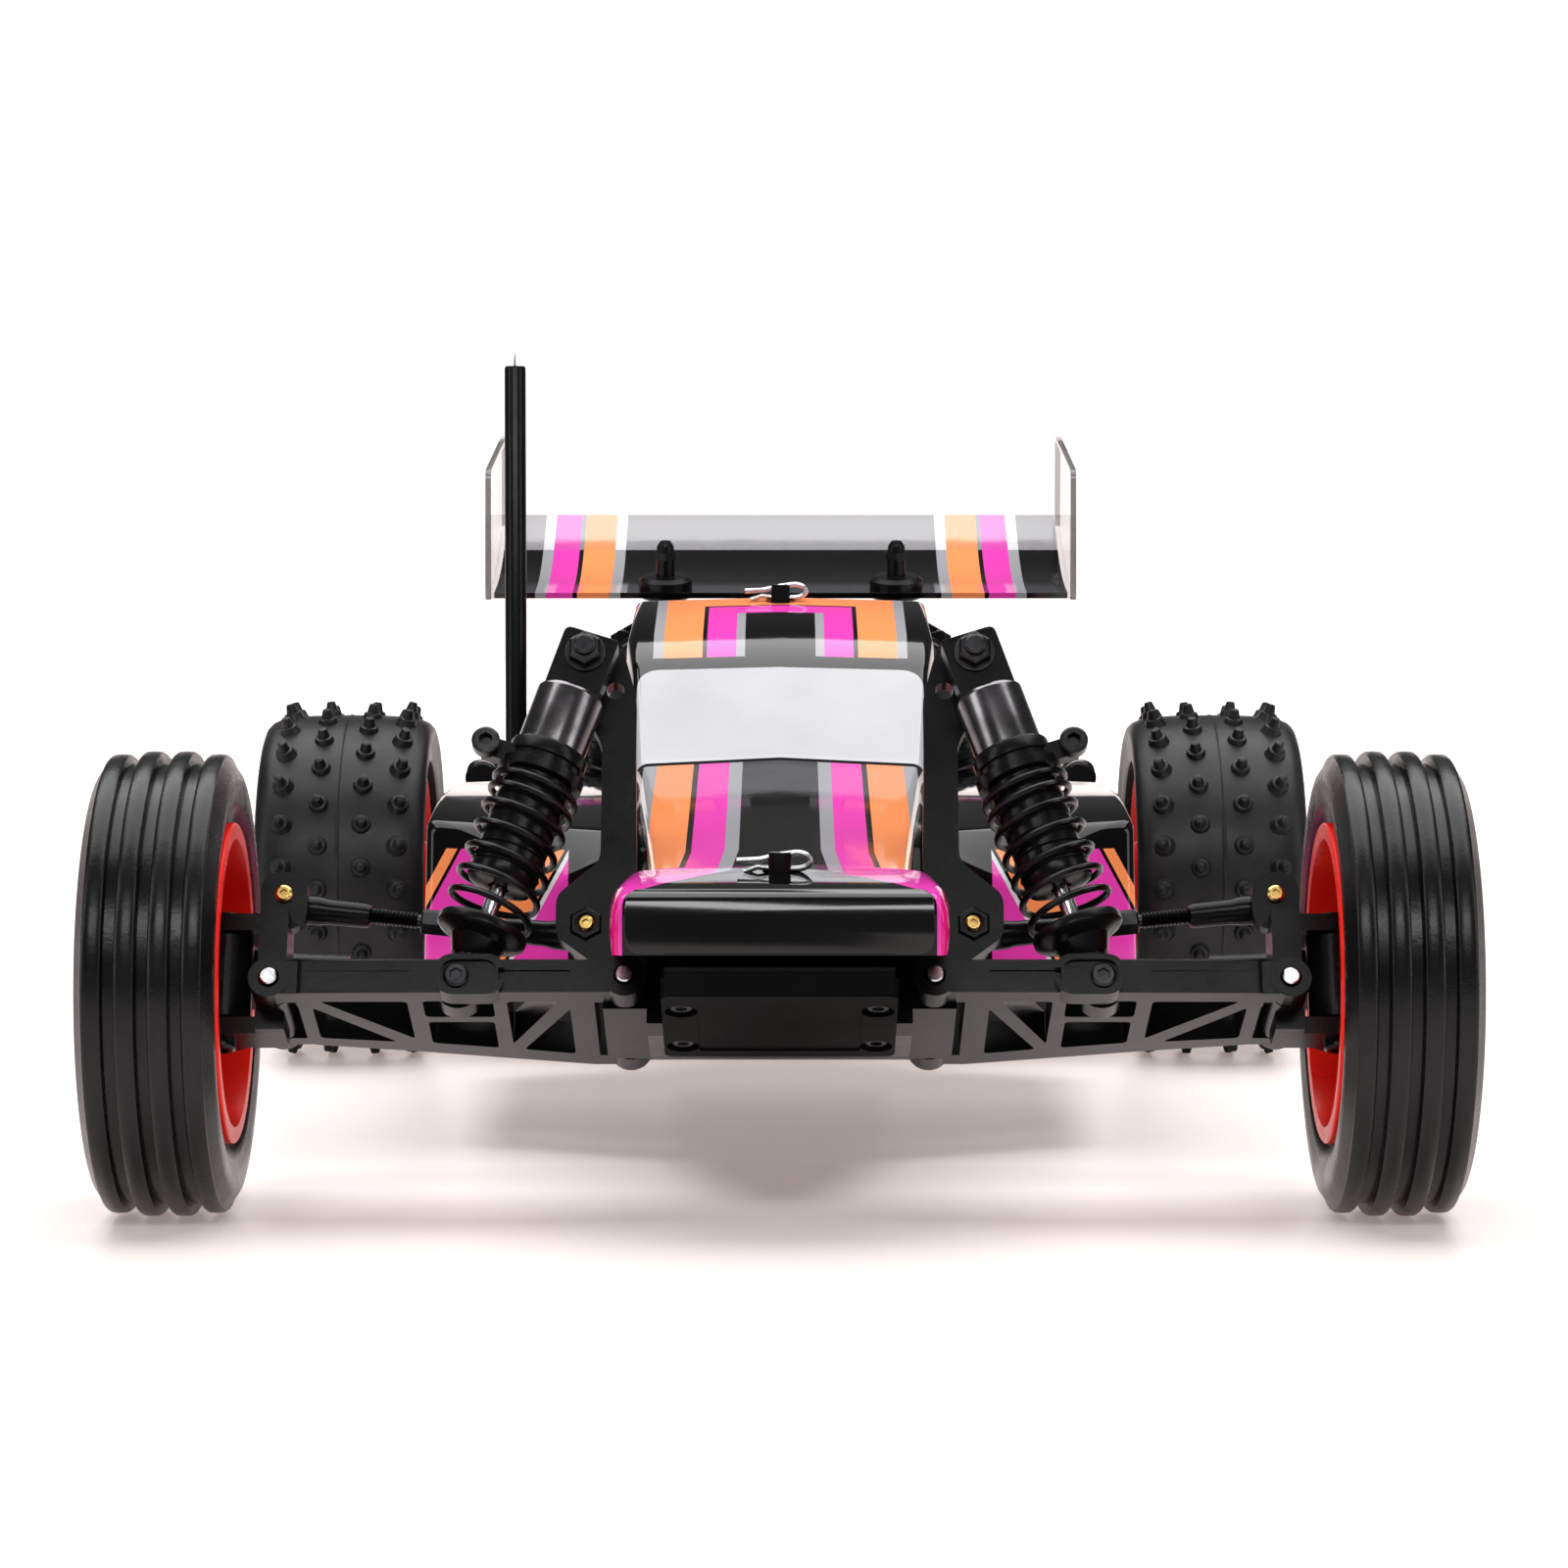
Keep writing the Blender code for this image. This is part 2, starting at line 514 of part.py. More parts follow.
def rear_wheel(side, label):
    inner = WHEEL_OUTER_X - REAR_TYRE_WIDTH
    outer = WHEEL_OUTER_X
    rim = [(inner + 0.5, 17.0), (inner + 0.5, 19.0), (inner + 1.6, 19.0), (inner + 1.8, 17.9),
           (outer - 1.8, 17.9), (outer - 1.6, 19.0), (outer - 0.5, 19.0), (outer - 0.5, 17.0),
           (59.4, 16.4), (58.4, 5.0), (60.6, 4.4), (60.6, 1.85),
           (54.8, 1.85), (54.8, 5.0), (56.8, 7.0), (57.2, 17.0)]
    carcass = [(inner + 2.0, 18.2), (inner + 2.0, 19.4),
               (inner, 22.4), (inner + 0.9, 24.4), (inner + 2.6, 25.3), (outer - 2.6, 25.3),
               (outer - 0.9, 24.4), (outer, 22.4), (outer - 2.0, 19.4), (outer - 2.0, 18.2)]
    obj = wheel(side, label, "rear", REAR_AXLE_Y, rim, carcass, 20)
    add_spikes(obj, side, (58.0, 63.5, 70.0, 75.6), inner + 2.6, outer - 2.6, 20)


def add_spikes(obj, side, columns, low, high, segments):
    """Splits each tread face between its spike columns and pulls blunt spikes out of every
    second one, staggered from column to column."""
    builder = bmesh.new()
    builder.from_mesh(obj.data)
    cuts = sorted({low} | {high} | {x + shift for x in columns for shift in (-1.2, 1.2)})
    for x in cuts[1:-1]:
        geometry = builder.verts[:] + builder.edges[:] + builder.faces[:]
        bmesh.ops.bisect_plane(builder, geom=geometry, dist=1e-7,
                               plane_co=Vector((side * x * MM, 0, 0)), plane_no=(1, 0, 0))
    tops = []
    pitch = 2.0 * math.pi / segments
    for face in builder.faces:
        centre = face.calc_center_median()
        around = math.atan2(centre.z, centre.y)
        radius = math.hypot(centre.y, centre.z) / MM
        step = round(around / pitch)
        for number, column in enumerate(columns):
            on_column = abs(abs(centre.x) / MM - column) < 0.2 and radius > 24.6
            if on_column and (step + number) % 2 == 0:
                tops.append((face, around))
    for face, around in tops:
        bmesh.ops.inset_individual(builder, faces=[face], thickness=0.6 * MM)
        outward = Vector((0.0, math.cos(around), math.sin(around)))
        centre = face.calc_center_median()
        for corner in face.verts:
            away = corner.co - centre
            flat = away - outward * away.dot(outward)
            flat.x *= 0.8
            corner.co = centre + flat * 0.35 + outward * (TYRE_RADIUS - 25.0) * MM
    builder.normal_update()
    builder.to_mesh(obj.data)
    builder.free()


# ---- rear end -----------------------------------------------------------------------------------
def rear_arm(side, label):
    deck = slab([(17.6, -17.0), (38.0, -17.0), (41.2, -12.6), (41.2, 12.6), (30, 13.2),
                 (17.6, 13.2)], "xs", -1.8, 1.8)
    shapes = [deck, rod((REAR_PIN_X, -13.2, 0), (REAR_PIN_X, 13.2, 0), 2.6),
              box((14.4, -13.2, -1.8), (18.0, 13.2, 1.8)),
              rod((SHOCK_EYE_REAR[0], -17.1, 2.0), (SHOCK_EYE_REAR[0], -14.6, 2.0), 2.9)]
    for low, high in ((-12.6, -9.2), (9.2, 12.6)):
        shapes.append(rod((REAR_OUTER_PIN_X, low, 0), (REAR_OUTER_PIN_X, high, 0), 2.4))
        shapes.append(box((40.8, low, -1.8), (REAR_OUTER_PIN_X, high, 1.8)))
    windows = [[(19.6, -11.5), (29.6, -11.5), (19.6, 3.5)], [(31.0, -9.6), (31.0, 8.0), (20.6, 7.6)],
               [(33.0, -11.5), (39.0, -11.5), (39.0, 1.5)], [(33.0, -8.0), (38.0, 7.6), (33.0, 7.6)]]
    cuts = [slab(points, "xs", -4, 4) for points in windows]
    cuts.append(rod((REAR_PIN_X, -15, 0), (REAR_PIN_X, 15, 0), PIN_HOLE_RADIUS))
    cuts.append(rod((REAR_OUTER_PIN_X, -14, 0), (REAR_OUTER_PIN_X, 14, 0), PIN_HOLE_RADIUS))
    solid(f"rear_arm_{label}", "satin_black_plastic", shapes, cuts, REAR_FRAME, side,
          (REAR_PIN_X, 0, 0))


def rear_hub(side, label):
    axle_t = AXLE_Z - 18.0
    shapes = [rod((43.4, 0, axle_t), (50.2, 0, axle_t), 6.2, sides=16),
              rod((REAR_OUTER_PIN_X, -8.8, 0), (REAR_OUTER_PIN_X, 8.8, 0), 2.4),
              box((42.8, -4.2, -1.0), (46.6, 4.2, axle_t)),
              box((44.0, -6.6, axle_t), (48.4, -4.4, 25.6)),
              rod((46.0, -6.6, 25.6), (46.0, -4.4, 25.6), 2.7),
              rod((46.0, -6.9, 25.6), (46.0, -6.4, 25.6), 1.2),
              rod((REAR_OUTER_PIN_X, -13.0, 0), (REAR_OUTER_PIN_X, 13.0, 0), PIN_RADIUS)]
    cuts = [rod((40, 0, axle_t), (52, 0, axle_t), 1.9), rod((40, 0, axle_t), (45.4, 0, axle_t), 3.9)]
    solid(f"rear_hub_{label}", "satin_black_plastic", shapes, cuts, REAR_FRAME, side,
          (REAR_OUTER_PIN_X, 0, 0))


def rear_axle(side, label):
    profile = [(38.6, 3.4), (44.6, 3.4), (45.0, 1.6), (50.6, 1.6), (50.7, 3.6), (54.4, 3.6),
               (54.5, 1.6), (66.0, 1.6)]
    shaft = turned(profile, (0, REAR_AXLE_Y, AXLE_Z), (1, 0, 0), 12)
    pocket = rod((37, REAR_AXLE_Y, AXLE_Z), (43.2, REAR_AXLE_Y, AXLE_Z), 2.5)
    solid(f"rear_axle_{label}", "bright_steel", [shaft], [pocket], WORLD, side,
          (0, REAR_AXLE_Y, AXLE_Z))


def drive_shaft(side, label):
    inner, outer = (14.5, REAR_AXLE_Y, AXLE_Z), (41.0, REAR_AXLE_Y, AXLE_Z)
    shapes = [rod(inner, outer, 1.2), ball(inner, 1.8), ball(outer, 1.8)]
    solid(f"drive_shaft_{label}", "bright_steel", shapes, [], WORLD, side, inner)


def build_rear_corner(side, label):
    rear_arm(side, label)
    rear_hub(side, label)
    rear_axle(side, label)
    drive_shaft(side, label)
    camber_link(side, label, "rear", REAR_FRAME, CAMBER_INNER_REAR, CAMBER_OUTER_REAR)
    damper(side, label, "rear", REAR_FRAME, SHOCK_TOP_REAR, SHOCK_EYE_REAR)
    rear_wheel(side, label)


def arc(centre, radius, first, last, steps):
    """Points on a circle between two angles in degrees."""
    points = []
    for i in range(steps + 1):
        angle = math.radians(first + (last - first) * i / steps)
        points.append((centre[0] + radius * math.cos(angle),
                       centre[1] + radius * math.sin(angle)))
    return points


def belt(centre, radius, small_centre, small_radius):
    """The outline of a tight belt around a large and a small circle."""
    across = small_centre[0] - centre[0]
    up = small_centre[1] - centre[1]
    line = math.degrees(math.atan2(up, across))
    swing = math.degrees(math.acos((radius - small_radius) / math.hypot(across, up)))
    return (arc(centre, radius, line + swing, line - swing + 360.0, 12)
            + arc(small_centre, small_radius, line - swing, line + swing, 5))


def build_gearbox_case():
    shell = slab(belt(DIFF_CENTRE, 13.9, TOP_SHAFT_CENTRE, 5.7), "st", -7.2, 7.2)
    cavity = slab(belt(DIFF_CENTRE, 13.1, TOP_SHAFT_CENTRE, 4.9), "st", -5.8, 5.8)
    base = box((-16.8, 62.0, 13.0), (16.8, 96.0, 14.6))
    shapes = [shell, base]
    for low, high in ((62.0, 65.2), (92.8, 96.0)):
        for sign in (-1, 1):
            near, far = sorted((sign * 10.6, sign * 16.8))
            shapes.append(box((near, low, 13.0), (far, high, 20.8)))
    for sign in (-1, 1):
        shapes.append(rod((sign * REAR_PIN_X, 62.4, 18.0), (sign * REAR_PIN_X, 95.6, 18.0),
                          PIN_RADIUS))
    shapes.append(box((-7.2, 64.8, 13.6), (7.2, 80.0, 30.0)))
    motor_plate = arc(MOTOR_CENTRE, 8.5, -160, 120, 8)
    shapes.append(slab(motor_plate + [(80.5, 47.2), (82.0, 37.0)], "st", -9.2, -7.0))
    cuts = [cavity, rod((-9, *DIFF_CENTRE), (9, *DIFF_CENTRE), 3.0),
            rod((-11, *TOP_SHAFT_CENTRE), (9, *TOP_SHAFT_CENTRE), 1.6),
            rod((-12, *MOTOR_CENTRE), (-5, *MOTOR_CENTRE), 3.0)]
    solid("gearbox_case", "satin_black_plastic", shapes, cuts)


def gear(teeth, phase, centre, low, high, tip=0.75, root=1.1):
    """A straight-toothed gear about X; phase is where a tooth's middle points."""
    radius = teeth * GEAR_MODULE / 2.0
    pitch = 2.0 * math.pi / teeth
    outline = []
    for k in range(teeth):
        for share, reach in ((-0.22, -root), (-0.10, tip), (0.10, tip), (0.22, -root)):
            angle = phase + (k + share) * pitch
            size = radius + reach * GEAR_MODULE
            outline.append((centre[0] + size * math.cos(angle),
                            centre[1] + size * math.sin(angle)))
    return slab(outline, "st", low, high)


def mesh_phase(phase, teeth, centre, other_teeth, other_centre):
    """The phase that puts the other gear in mesh with this one."""
    line = math.atan2(other_centre[1] - centre[1], other_centre[0] - centre[0])
    offset = phase - line
    return line + math.pi - offset * teeth / other_teeth + math.pi / other_teeth


def build_drive_train():
    spur_phase = 0.0
    top_phase = 0.0
    pinion_phase = mesh_phase(spur_phase, SPUR_TEETH, TOP_SHAFT_CENTRE, PINION_TEETH,
                              MOTOR_CENTRE)
    diff_phase = mesh_phase(top_phase, TOP_SHAFT_TEETH, TOP_SHAFT_CENTRE, DIFF_TEETH,
                            DIFF_CENTRE)
    top = TOP_SHAFT_CENTRE
    solid("spur_gear", "white_nylon",
          [gear(SPUR_TEETH, spur_phase, top, -12.6, -10.4), rod((-14.0, *top), (8.0, *top), 1.3),
           rod((-10.6, *top), (-9.6, *top), 2.6),
           gear(TOP_SHAFT_TEETH, top_phase, top, -3.0, 3.0)], pivot=(0, *top))
    motor = MOTOR_CENTRE
    solid("pinion_gear", "brass_ball",
          [gear(PINION_TEETH, pinion_phase, motor, -13.0, -10.0), rod((-14.0, *motor), (-13, *motor), 2.6)],
          [rod((-15, *motor), (-9, *motor), 1.3)], pivot=(0, *motor))
    axis = DIFF_CENTRE
    outdrives = rod((-16.2, *axis), (16.2, *axis), 2.6)
    cups = [rod((sign * 8.2, *axis), (sign * 16.4, *axis), 3.3) for sign in (-1, 1)]
    pockets = [rod((sign * 11.8, *axis), (sign * 18.0, *axis), 2.4) for sign in (-1, 1)]
    solid("differential_gear", "satin_black_plastic",
          [gear(DIFF_TEETH, diff_phase, axis, -2.6, 2.6), outdrives] + cups, pockets,
          pivot=(0, *axis))
    can = turned([(-6.7, 9.6), (-6.0, MOTOR_RADIUS), (20.0, MOTOR_RADIUS), (20.8, 9.6)],
                 (0, *motor), (1, 0, 0), 16)
    nose = rod((-6.5, *motor), (-12.0, *motor), 1.0)
    tail = rod((20.0, *motor), (23.0, *motor), 3.0)
    solid("drive_motor", "motor_can_steel", [can, nose, tail], pivot=(0, *motor))


def build_rear_tower():
    half = [(9.0, 16), (17, 20.6), (20.2, 22.5), (20.6, 28.4), (19.4, 31), (19.2, 38),
            (25.6, 43), (26.0, 47.6), (22.5, 49.6), (17.5, 48), (12, 40)]
    plate = half + [(-x, t) for x, t in reversed(half)]
    shapes = [slab(plate, "xt", -15.4, -13.2)]
    for sign in (-1, 1):
        shapes.append(rod((sign * 20, -14, 26), (sign * 20, -11.3, 26), 1.2))
        stay = [(-15.2, 42.5), (-13.4, 38.0), (17.5, 51.2), (17.5, 54.4), (9.0, 52.7)]
        near, far = sorted((sign * 16.4, sign * 19.2))
        shapes.append(slab(stay, "st", near, far))
    window = slab([(-6, 24), (6, 24), (8, 34), (-8, 34)], "xt", -20, -10)
    solid("rear_shock_tower", "satin_black_plastic", shapes, [window], frame=REAR_FRAME)


def build_wing():
    """The main plane is a shallow curve from low front to high rear, with an upright dam
    at each end."""
    y0, z0, chord, rise = 83.5, 71.5, 37.5, 12.5
    upper, lower = [], []
    steps = 8
    for i in range(steps + 1):
        share = i / steps
        sag = -2.4 * math.sin(math.pi * share)
        upper.append((y0 + chord * share, z0 + rise * share + sag + 0.5))
        lower.append((y0 + chord * share + 0.3, z0 + rise * share + sag - 0.5))
    plane = slab(upper + lower[::-1], "st", -WING_HALF_WIDTH, WING_HALF_WIDTH)
    dam = [(79.5, 70.5), (100.0, 74.0), (123.03, 82.5), (123.03, 97.8), (80.5, 91.2)]
    dams = []
    for sign in (-1, 1):
        near, far = sorted((sign * (WING_HALF_WIDTH - 1.0), sign * WING_HALF_WIDTH))
        dams.append(slab(dam, "st", near, far))
    solid("rear_wing", "smoked_clear_wing", [plane] + dams)


# ---- body shell -----------------------------------------------------------------------------------
def build_body_shell():
    """A lofted skin: each row is half a section, from the lower edge up to the crown."""
    rows = [
        (-119.0, [(19.0, 32.9), (19.1, 34.6), (19.0, 37.6), (18.2, 39.8), (0, 40.2)]),
        (-112.0, [(19.3, 33.0), (19.6, 35.0), (19.4, 38.4), (18.4, 40.6), (0, 40.8)]),
        (-100.2, [(19.3, 33.0), (19.4, 35.0), (18.8, 39.0), (17.2, 41.2), (0, 41.6)]),
        (-98.6, [(15.2, 36.0), (15.3, 38.0), (15.4, 39.6), (15.4, 41.2), (0, 42.0)]),
        (-72.0, [(16.0, 34.0), (16.2, 37.0), (16.4, 41.0), (16.6, 45.0), (0, 45.8)]),
        (-44.0, [(18.4, 25.0), (18.4, 33.0), (18.4, 42.0), (18.2, 49.2), (0, 50.1)]),
        (-41.0, [(30.0, 24.2), (29.0, 36.0), (20.0, 40.0), (18.4, 49.6), (0, 50.5)]),
        (-35.0, [(46.9, 24.2), (46.5, 43.2), (21.5, 42.0), (18.7, 50.4), (0, 51.3)]),
        (-15.0, [(47.4, 24.2), (46.6, 45.4), (21.8, 45.0), (19.9, 62.8), (0, 63.3)]),
        (-8.0, [(47.4, 24.2), (46.6, 45.6), (21.9, 45.6), (20.9, 67.0), (0, 67.5)]),
        (15.0, [(47.4, 24.2), (46.2, 45.6), (21.4, 46.6), (20.5, 71.6), (0, 72.2)]),
        (24.0, [(47.4, 24.2), (45.4, 44.8), (20.0, 46.0), (18.6, 64.0), (0, 65.0)]),
        (40.0, [(46.0, 24.2), (42.0, 40.6), (17.0, 44.6), (14.6, 56.0), (0, 57.0)]),
        (47.0, [(38.0, 24.2), (34.0, 36.0), (15.0, 41.0), (13.0, 53.0), (0, 54.0)]),
        (51.0, [(15.4, 26.0), (15.0, 32.0), (13.6, 38.0), (11.6, 51.0), (0, 52.0)]),
        (59.5, [(12.6, 30.0), (12.4, 34.0), (11.4, 38.0), (9.6, 49.0), (0, 50.0)])]
    builder = bmesh.new()
    grid = []
    for y, half in rows:
        points = half + [(-x, z) for x, z in half[:-1]][::-1]
        grid.append([builder.verts.new((x * MM, y * MM, z * MM)) for x, z in points])
    for first, second in zip(grid, grid[1:]):
        for k in range(len(first) - 1):
            builder.faces.new((first[k], first[k + 1], second[k + 1], second[k]))
    builder.faces.new(grid[0])
    bmesh.ops.recalc_face_normals(builder, faces=builder.faces)
    if builder.faces[0].normal.dot(Vector((1, 0, 0))) < 0:
        bmesh.ops.reverse_faces(builder, faces=builder.faces)
    mesh = bpy.data.meshes.new("body_skin")
    builder.to_mesh(mesh)
    builder.free()
    skin = bpy.data.objects.new("body_skin", mesh)
    bpy.context.scene.collection.objects.link(skin)
    thick = skin.modifiers.new("thickness", 'SOLIDIFY')
    thick.thickness = 0.9 * MM
    thick.offset = -1.0
    thick.use_even_offset = True
    holes = [rod((0, -103.5, 30), (0, -103.5, 60), 2.1), rod((0, 12, 60), (0, 12, 80), 2.1),
             rod((*ANTENNA, 35), (*ANTENNA, 60), 2.3)]
    cutters = []
    for hole in holes:
        cutter = temporary(([corner * MM for corner in hole[0]], hole[1]))
        cut = skin.modifiers.new("hole", 'BOOLEAN')
        cut.operation = 'DIFFERENCE'
        cut.object = cutter
        cutters.append(cutter)
    final = evaluated_mesh(skin)
    for helper in cutters + [skin]:
        bpy.data.objects.remove(helper, do_unlink=True)
    final.name = "body_shell"
    final.materials.clear()
    final.materials.append(material("gloss_black_shell"))
    final.shade_smooth()
    final.set_sharp_from_angle(angle=math.radians(35.0))
    shell = bpy.data.objects.new("body_shell", final)
    bpy.context.scene.collection.objects.link(shell)


# ---- electrics, steering drive and antenna ------------------------------------------------------
def build_electrics():
    solid("battery_pack", "battery_wrap", [chamfered_box((-16, -14, 16.4), (16, 48, 32.0), 2.5)])
    strap = [box((-19.8, 14, 16.4), (-18.2, 22, 33.9)), box((18.2, 14, 16.4), (19.8, 22, 33.9)),
             box((-19.8, 14, 32.4), (19.8, 22, 34.0)), rod((0, 18, 33), (0, 12, 50), 2.2),
             rod((0, 12, 49), (0, 12, 73.8), 1.8, 1.4)]
    solid("battery_strap", "satin_black_plastic", strap)
    solid("speed_controller", "electronics_case",
          [chamfered_box((23, -24, 16.4), (42, 6, 28.0), 1.5),
           box((25, -20, 27.8), (40, 2, 29.2))],
          [box((25.8 + 2.4 * k, -18.6, 28.2), (27.0 + 2.4 * k, 0.6, 31)) for k in range(6)])
    solid("antenna_tube", "satin_black_plastic",
          [rod((*ANTENNA, 16.4), (*ANTENNA, 20.4), 3.2), rod((*ANTENNA, 16.4), (*ANTENNA, 104.4), 1.5),
           rod((*ANTENNA, 104.2), (*ANTENNA, ANTENNA_TOP), 0.3, sides=6)])
    inner = FRONT_FRAME @ Vector((TIE_ROD_INNER_X, TIE_ROD_OUTER[1], TIE_ROD_OUTER[2]))
    axis_y, axis_z = inner.y, inner.z + HORN_LENGTH
    servo = [chamfered_box((-11, axis_y + 9.6, 19.2), (11, axis_y + 33, 42.2), 1.2),
             box((-12.8, axis_y + 14, 18.9), (12.8, axis_y + 26, 21.4)),
             rod((0, axis_y + 8.4, axis_z), (0, axis_y + 11, axis_z), 4.0)]
    socket = rod((0, axis_y + 7, axis_z), (0, axis_y + 13, axis_z), 2.3)
    solid("steering_servo", "electronics_case", servo, [socket])
    z = axis_z
    plate = [(-3.6, z + 1.5), (-1.8, z + 3.4), (1.8, z + 3.4), (3.6, z + 1.5), (6.0, z - 8.0),
             (5.6, z - 11.0), (-5.6, z - 11.0), (-6.0, z - 8.0)]
    horn = [slab(plate, "xt", axis_y + 3.1, axis_y + 5.3),
            rod((0, axis_y + 5.0, z), (0, axis_y + 11.0, z), 1.9),
            rod((0, axis_y + 1.9, z), (0, axis_y + 3.4, z), 2.0)]
    solid("servo_horn", "satin_black_plastic", horn, pivot=(0, axis_y, axis_z))


def main():
    clear_scene()
    build_chassis()
    build_front_bulkhead()
    build_front_bumper()
    build_front_tower()
    for side, label in ((1, "left"), (-1, "right")):
        build_front_corner(side, label)
        build_rear_corner(side, label)
    build_gearbox_case()
    build_drive_train()
    build_rear_tower()
    build_wing()
    build_body_shell()
    build_electrics()


main()
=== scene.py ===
"""The looks of a small radio-controlled off-road buggy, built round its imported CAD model.

Shapes are written in millimetres in the car's frame, where the nose points along -Y, and
are scaled when an object is made. Each axle has a working frame (x, s, t) taken from its
suspension hinge: x across the car, s backwards along the hinge, t at right angles to both.
"""
import json
import math

import bmesh
import bpy
from mathutils import Matrix, Vector


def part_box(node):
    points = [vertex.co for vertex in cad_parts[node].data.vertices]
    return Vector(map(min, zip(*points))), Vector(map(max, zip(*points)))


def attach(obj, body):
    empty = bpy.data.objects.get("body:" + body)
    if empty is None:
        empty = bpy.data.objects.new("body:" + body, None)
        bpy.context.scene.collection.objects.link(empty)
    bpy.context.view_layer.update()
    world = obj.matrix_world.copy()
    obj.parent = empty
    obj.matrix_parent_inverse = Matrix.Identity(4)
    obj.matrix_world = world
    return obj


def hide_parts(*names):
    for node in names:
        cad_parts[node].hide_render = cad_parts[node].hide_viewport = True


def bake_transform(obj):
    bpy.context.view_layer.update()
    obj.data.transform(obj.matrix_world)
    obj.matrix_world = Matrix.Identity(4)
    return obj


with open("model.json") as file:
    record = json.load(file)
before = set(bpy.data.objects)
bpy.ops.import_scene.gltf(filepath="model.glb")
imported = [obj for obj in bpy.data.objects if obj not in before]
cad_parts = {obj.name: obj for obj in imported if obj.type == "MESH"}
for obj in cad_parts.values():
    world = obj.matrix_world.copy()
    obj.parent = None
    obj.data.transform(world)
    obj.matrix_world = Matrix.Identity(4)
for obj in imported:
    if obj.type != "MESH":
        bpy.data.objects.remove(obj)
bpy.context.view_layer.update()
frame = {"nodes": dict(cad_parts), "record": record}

MM = 0.001
SIDES = ((1, "left"), (-1, "right"))
ROOT = "chassis_body"
WORLD = Matrix.Identity(4)
MIRROR = Matrix.Scale(-1.0, 4, (1.0, 0.0, 0.0))

CAMERA_PLACE = (0.0005, -0.635, 0.079)
CAMERA_DIP_DEGREES = 2.957
LENS_MM = 105.0
SMOOTH_DEGREES = 34.0
BEVELLED_SMOOTH_DEGREES = 50.0
PIN_BORE_RADIUS = 1.25
HINGE_BOSS_RADIUS = 2.6
OUTER_BOSS_RADIUS = 2.4
# Where the bonnet's paint gives way to the nose's, and where the wing's end dams begin.
NOSE_Y = -98.4
DAM_X = 45.0

JOINTS = {joint["name"]: joint for joint in frame["record"]["behaviour"]["joints"]}


def pivot(joint):
    """A joint's place in the car's frame, in millimetres."""
    return Vector(JOINTS[joint]["pos_m"]) / MM


def axle_frame(joint):
    """The working frame whose s axis is the left arm's hinge, pointing backwards."""
    place = pivot(joint)
    back = -Vector(JOINTS[joint]["axis"]).normalized()
    across = Vector((1.0, 0.0, 0.0))
    turned_frame = Matrix((across, back, across.cross(back))).transposed().to_4x4()
    return Matrix.Translation((0.0, place.y, place.z)) @ turned_frame


def low_corner(node):
    return Vector(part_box(node)[0]) / MM


def high_corner(node):
    return Vector(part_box(node)[1]) / MM


# The front frame's origin lies where the hinge passes below the axle.
FRONT = axle_frame("front_arm_left_swing")
REAR = axle_frame("rear_arm_left_swing")
FRONT_AXLE = pivot("front_wheel_left_spin")
REAR_AXLE = pivot("rear_wheel_left_spin")
FRONT_HINGE_X = pivot("front_arm_left_swing").x
REAR_HINGE_X = pivot("rear_arm_left_swing").x
WHEEL_OUTER_X = high_corner("front_tyre_left").x
TYRE_RADIUS = FRONT_AXLE.z
FRONT_INNER_X = low_corner("front_tyre_left").x
REAR_INNER_X = low_corner("rear_tyre_left").x


def in_frame(matrix, joint, side=1):
    """A joint's place in a working frame."""
    place = pivot(joint)
    place.x *= side
    return matrix.inverted() @ place


# ---- node materials --------------------------------------------------------------------------
class Field:
    """A number that varies over a surface, held as a shader socket."""

    def __init__(self, tree, socket):
        self.tree = tree
        self.socket = socket

    def _math(self, operation, *others):
        node = self.tree.nodes.new("ShaderNodeMath")
        node.operation = operation
        for slot, value in enumerate((self, *others)):
            if isinstance(value, Field):
                self.tree.links.new(value.socket, node.inputs[slot])
            else:
                node.inputs[slot].default_value = value
        return Field(self.tree, node.outputs[0])

    def __add__(self, other):
        return self._math('ADD', other)

    def __sub__(self, other):
        return self._math('SUBTRACT', other)

    def __mul__(self, other):
        return self._math('MULTIPLY', other)

    def __abs__(self):
        return self._math('ABSOLUTE')

    def max(self, other):
        return self._math('MAXIMUM', other)

    def over(self, limit):
        """1 where the field is above the limit, else 0."""
        return self._math('GREATER_THAN', limit)

    def under(self, limit):
        return self._math('LESS_THAN', limit)

    def band(self, low, high):
        return self.over(low) * self.under(high)

    def length(self, other):
        return (self * self + other * other)._math('SQRT')

    def sine(self):
        return self._math('SINE')


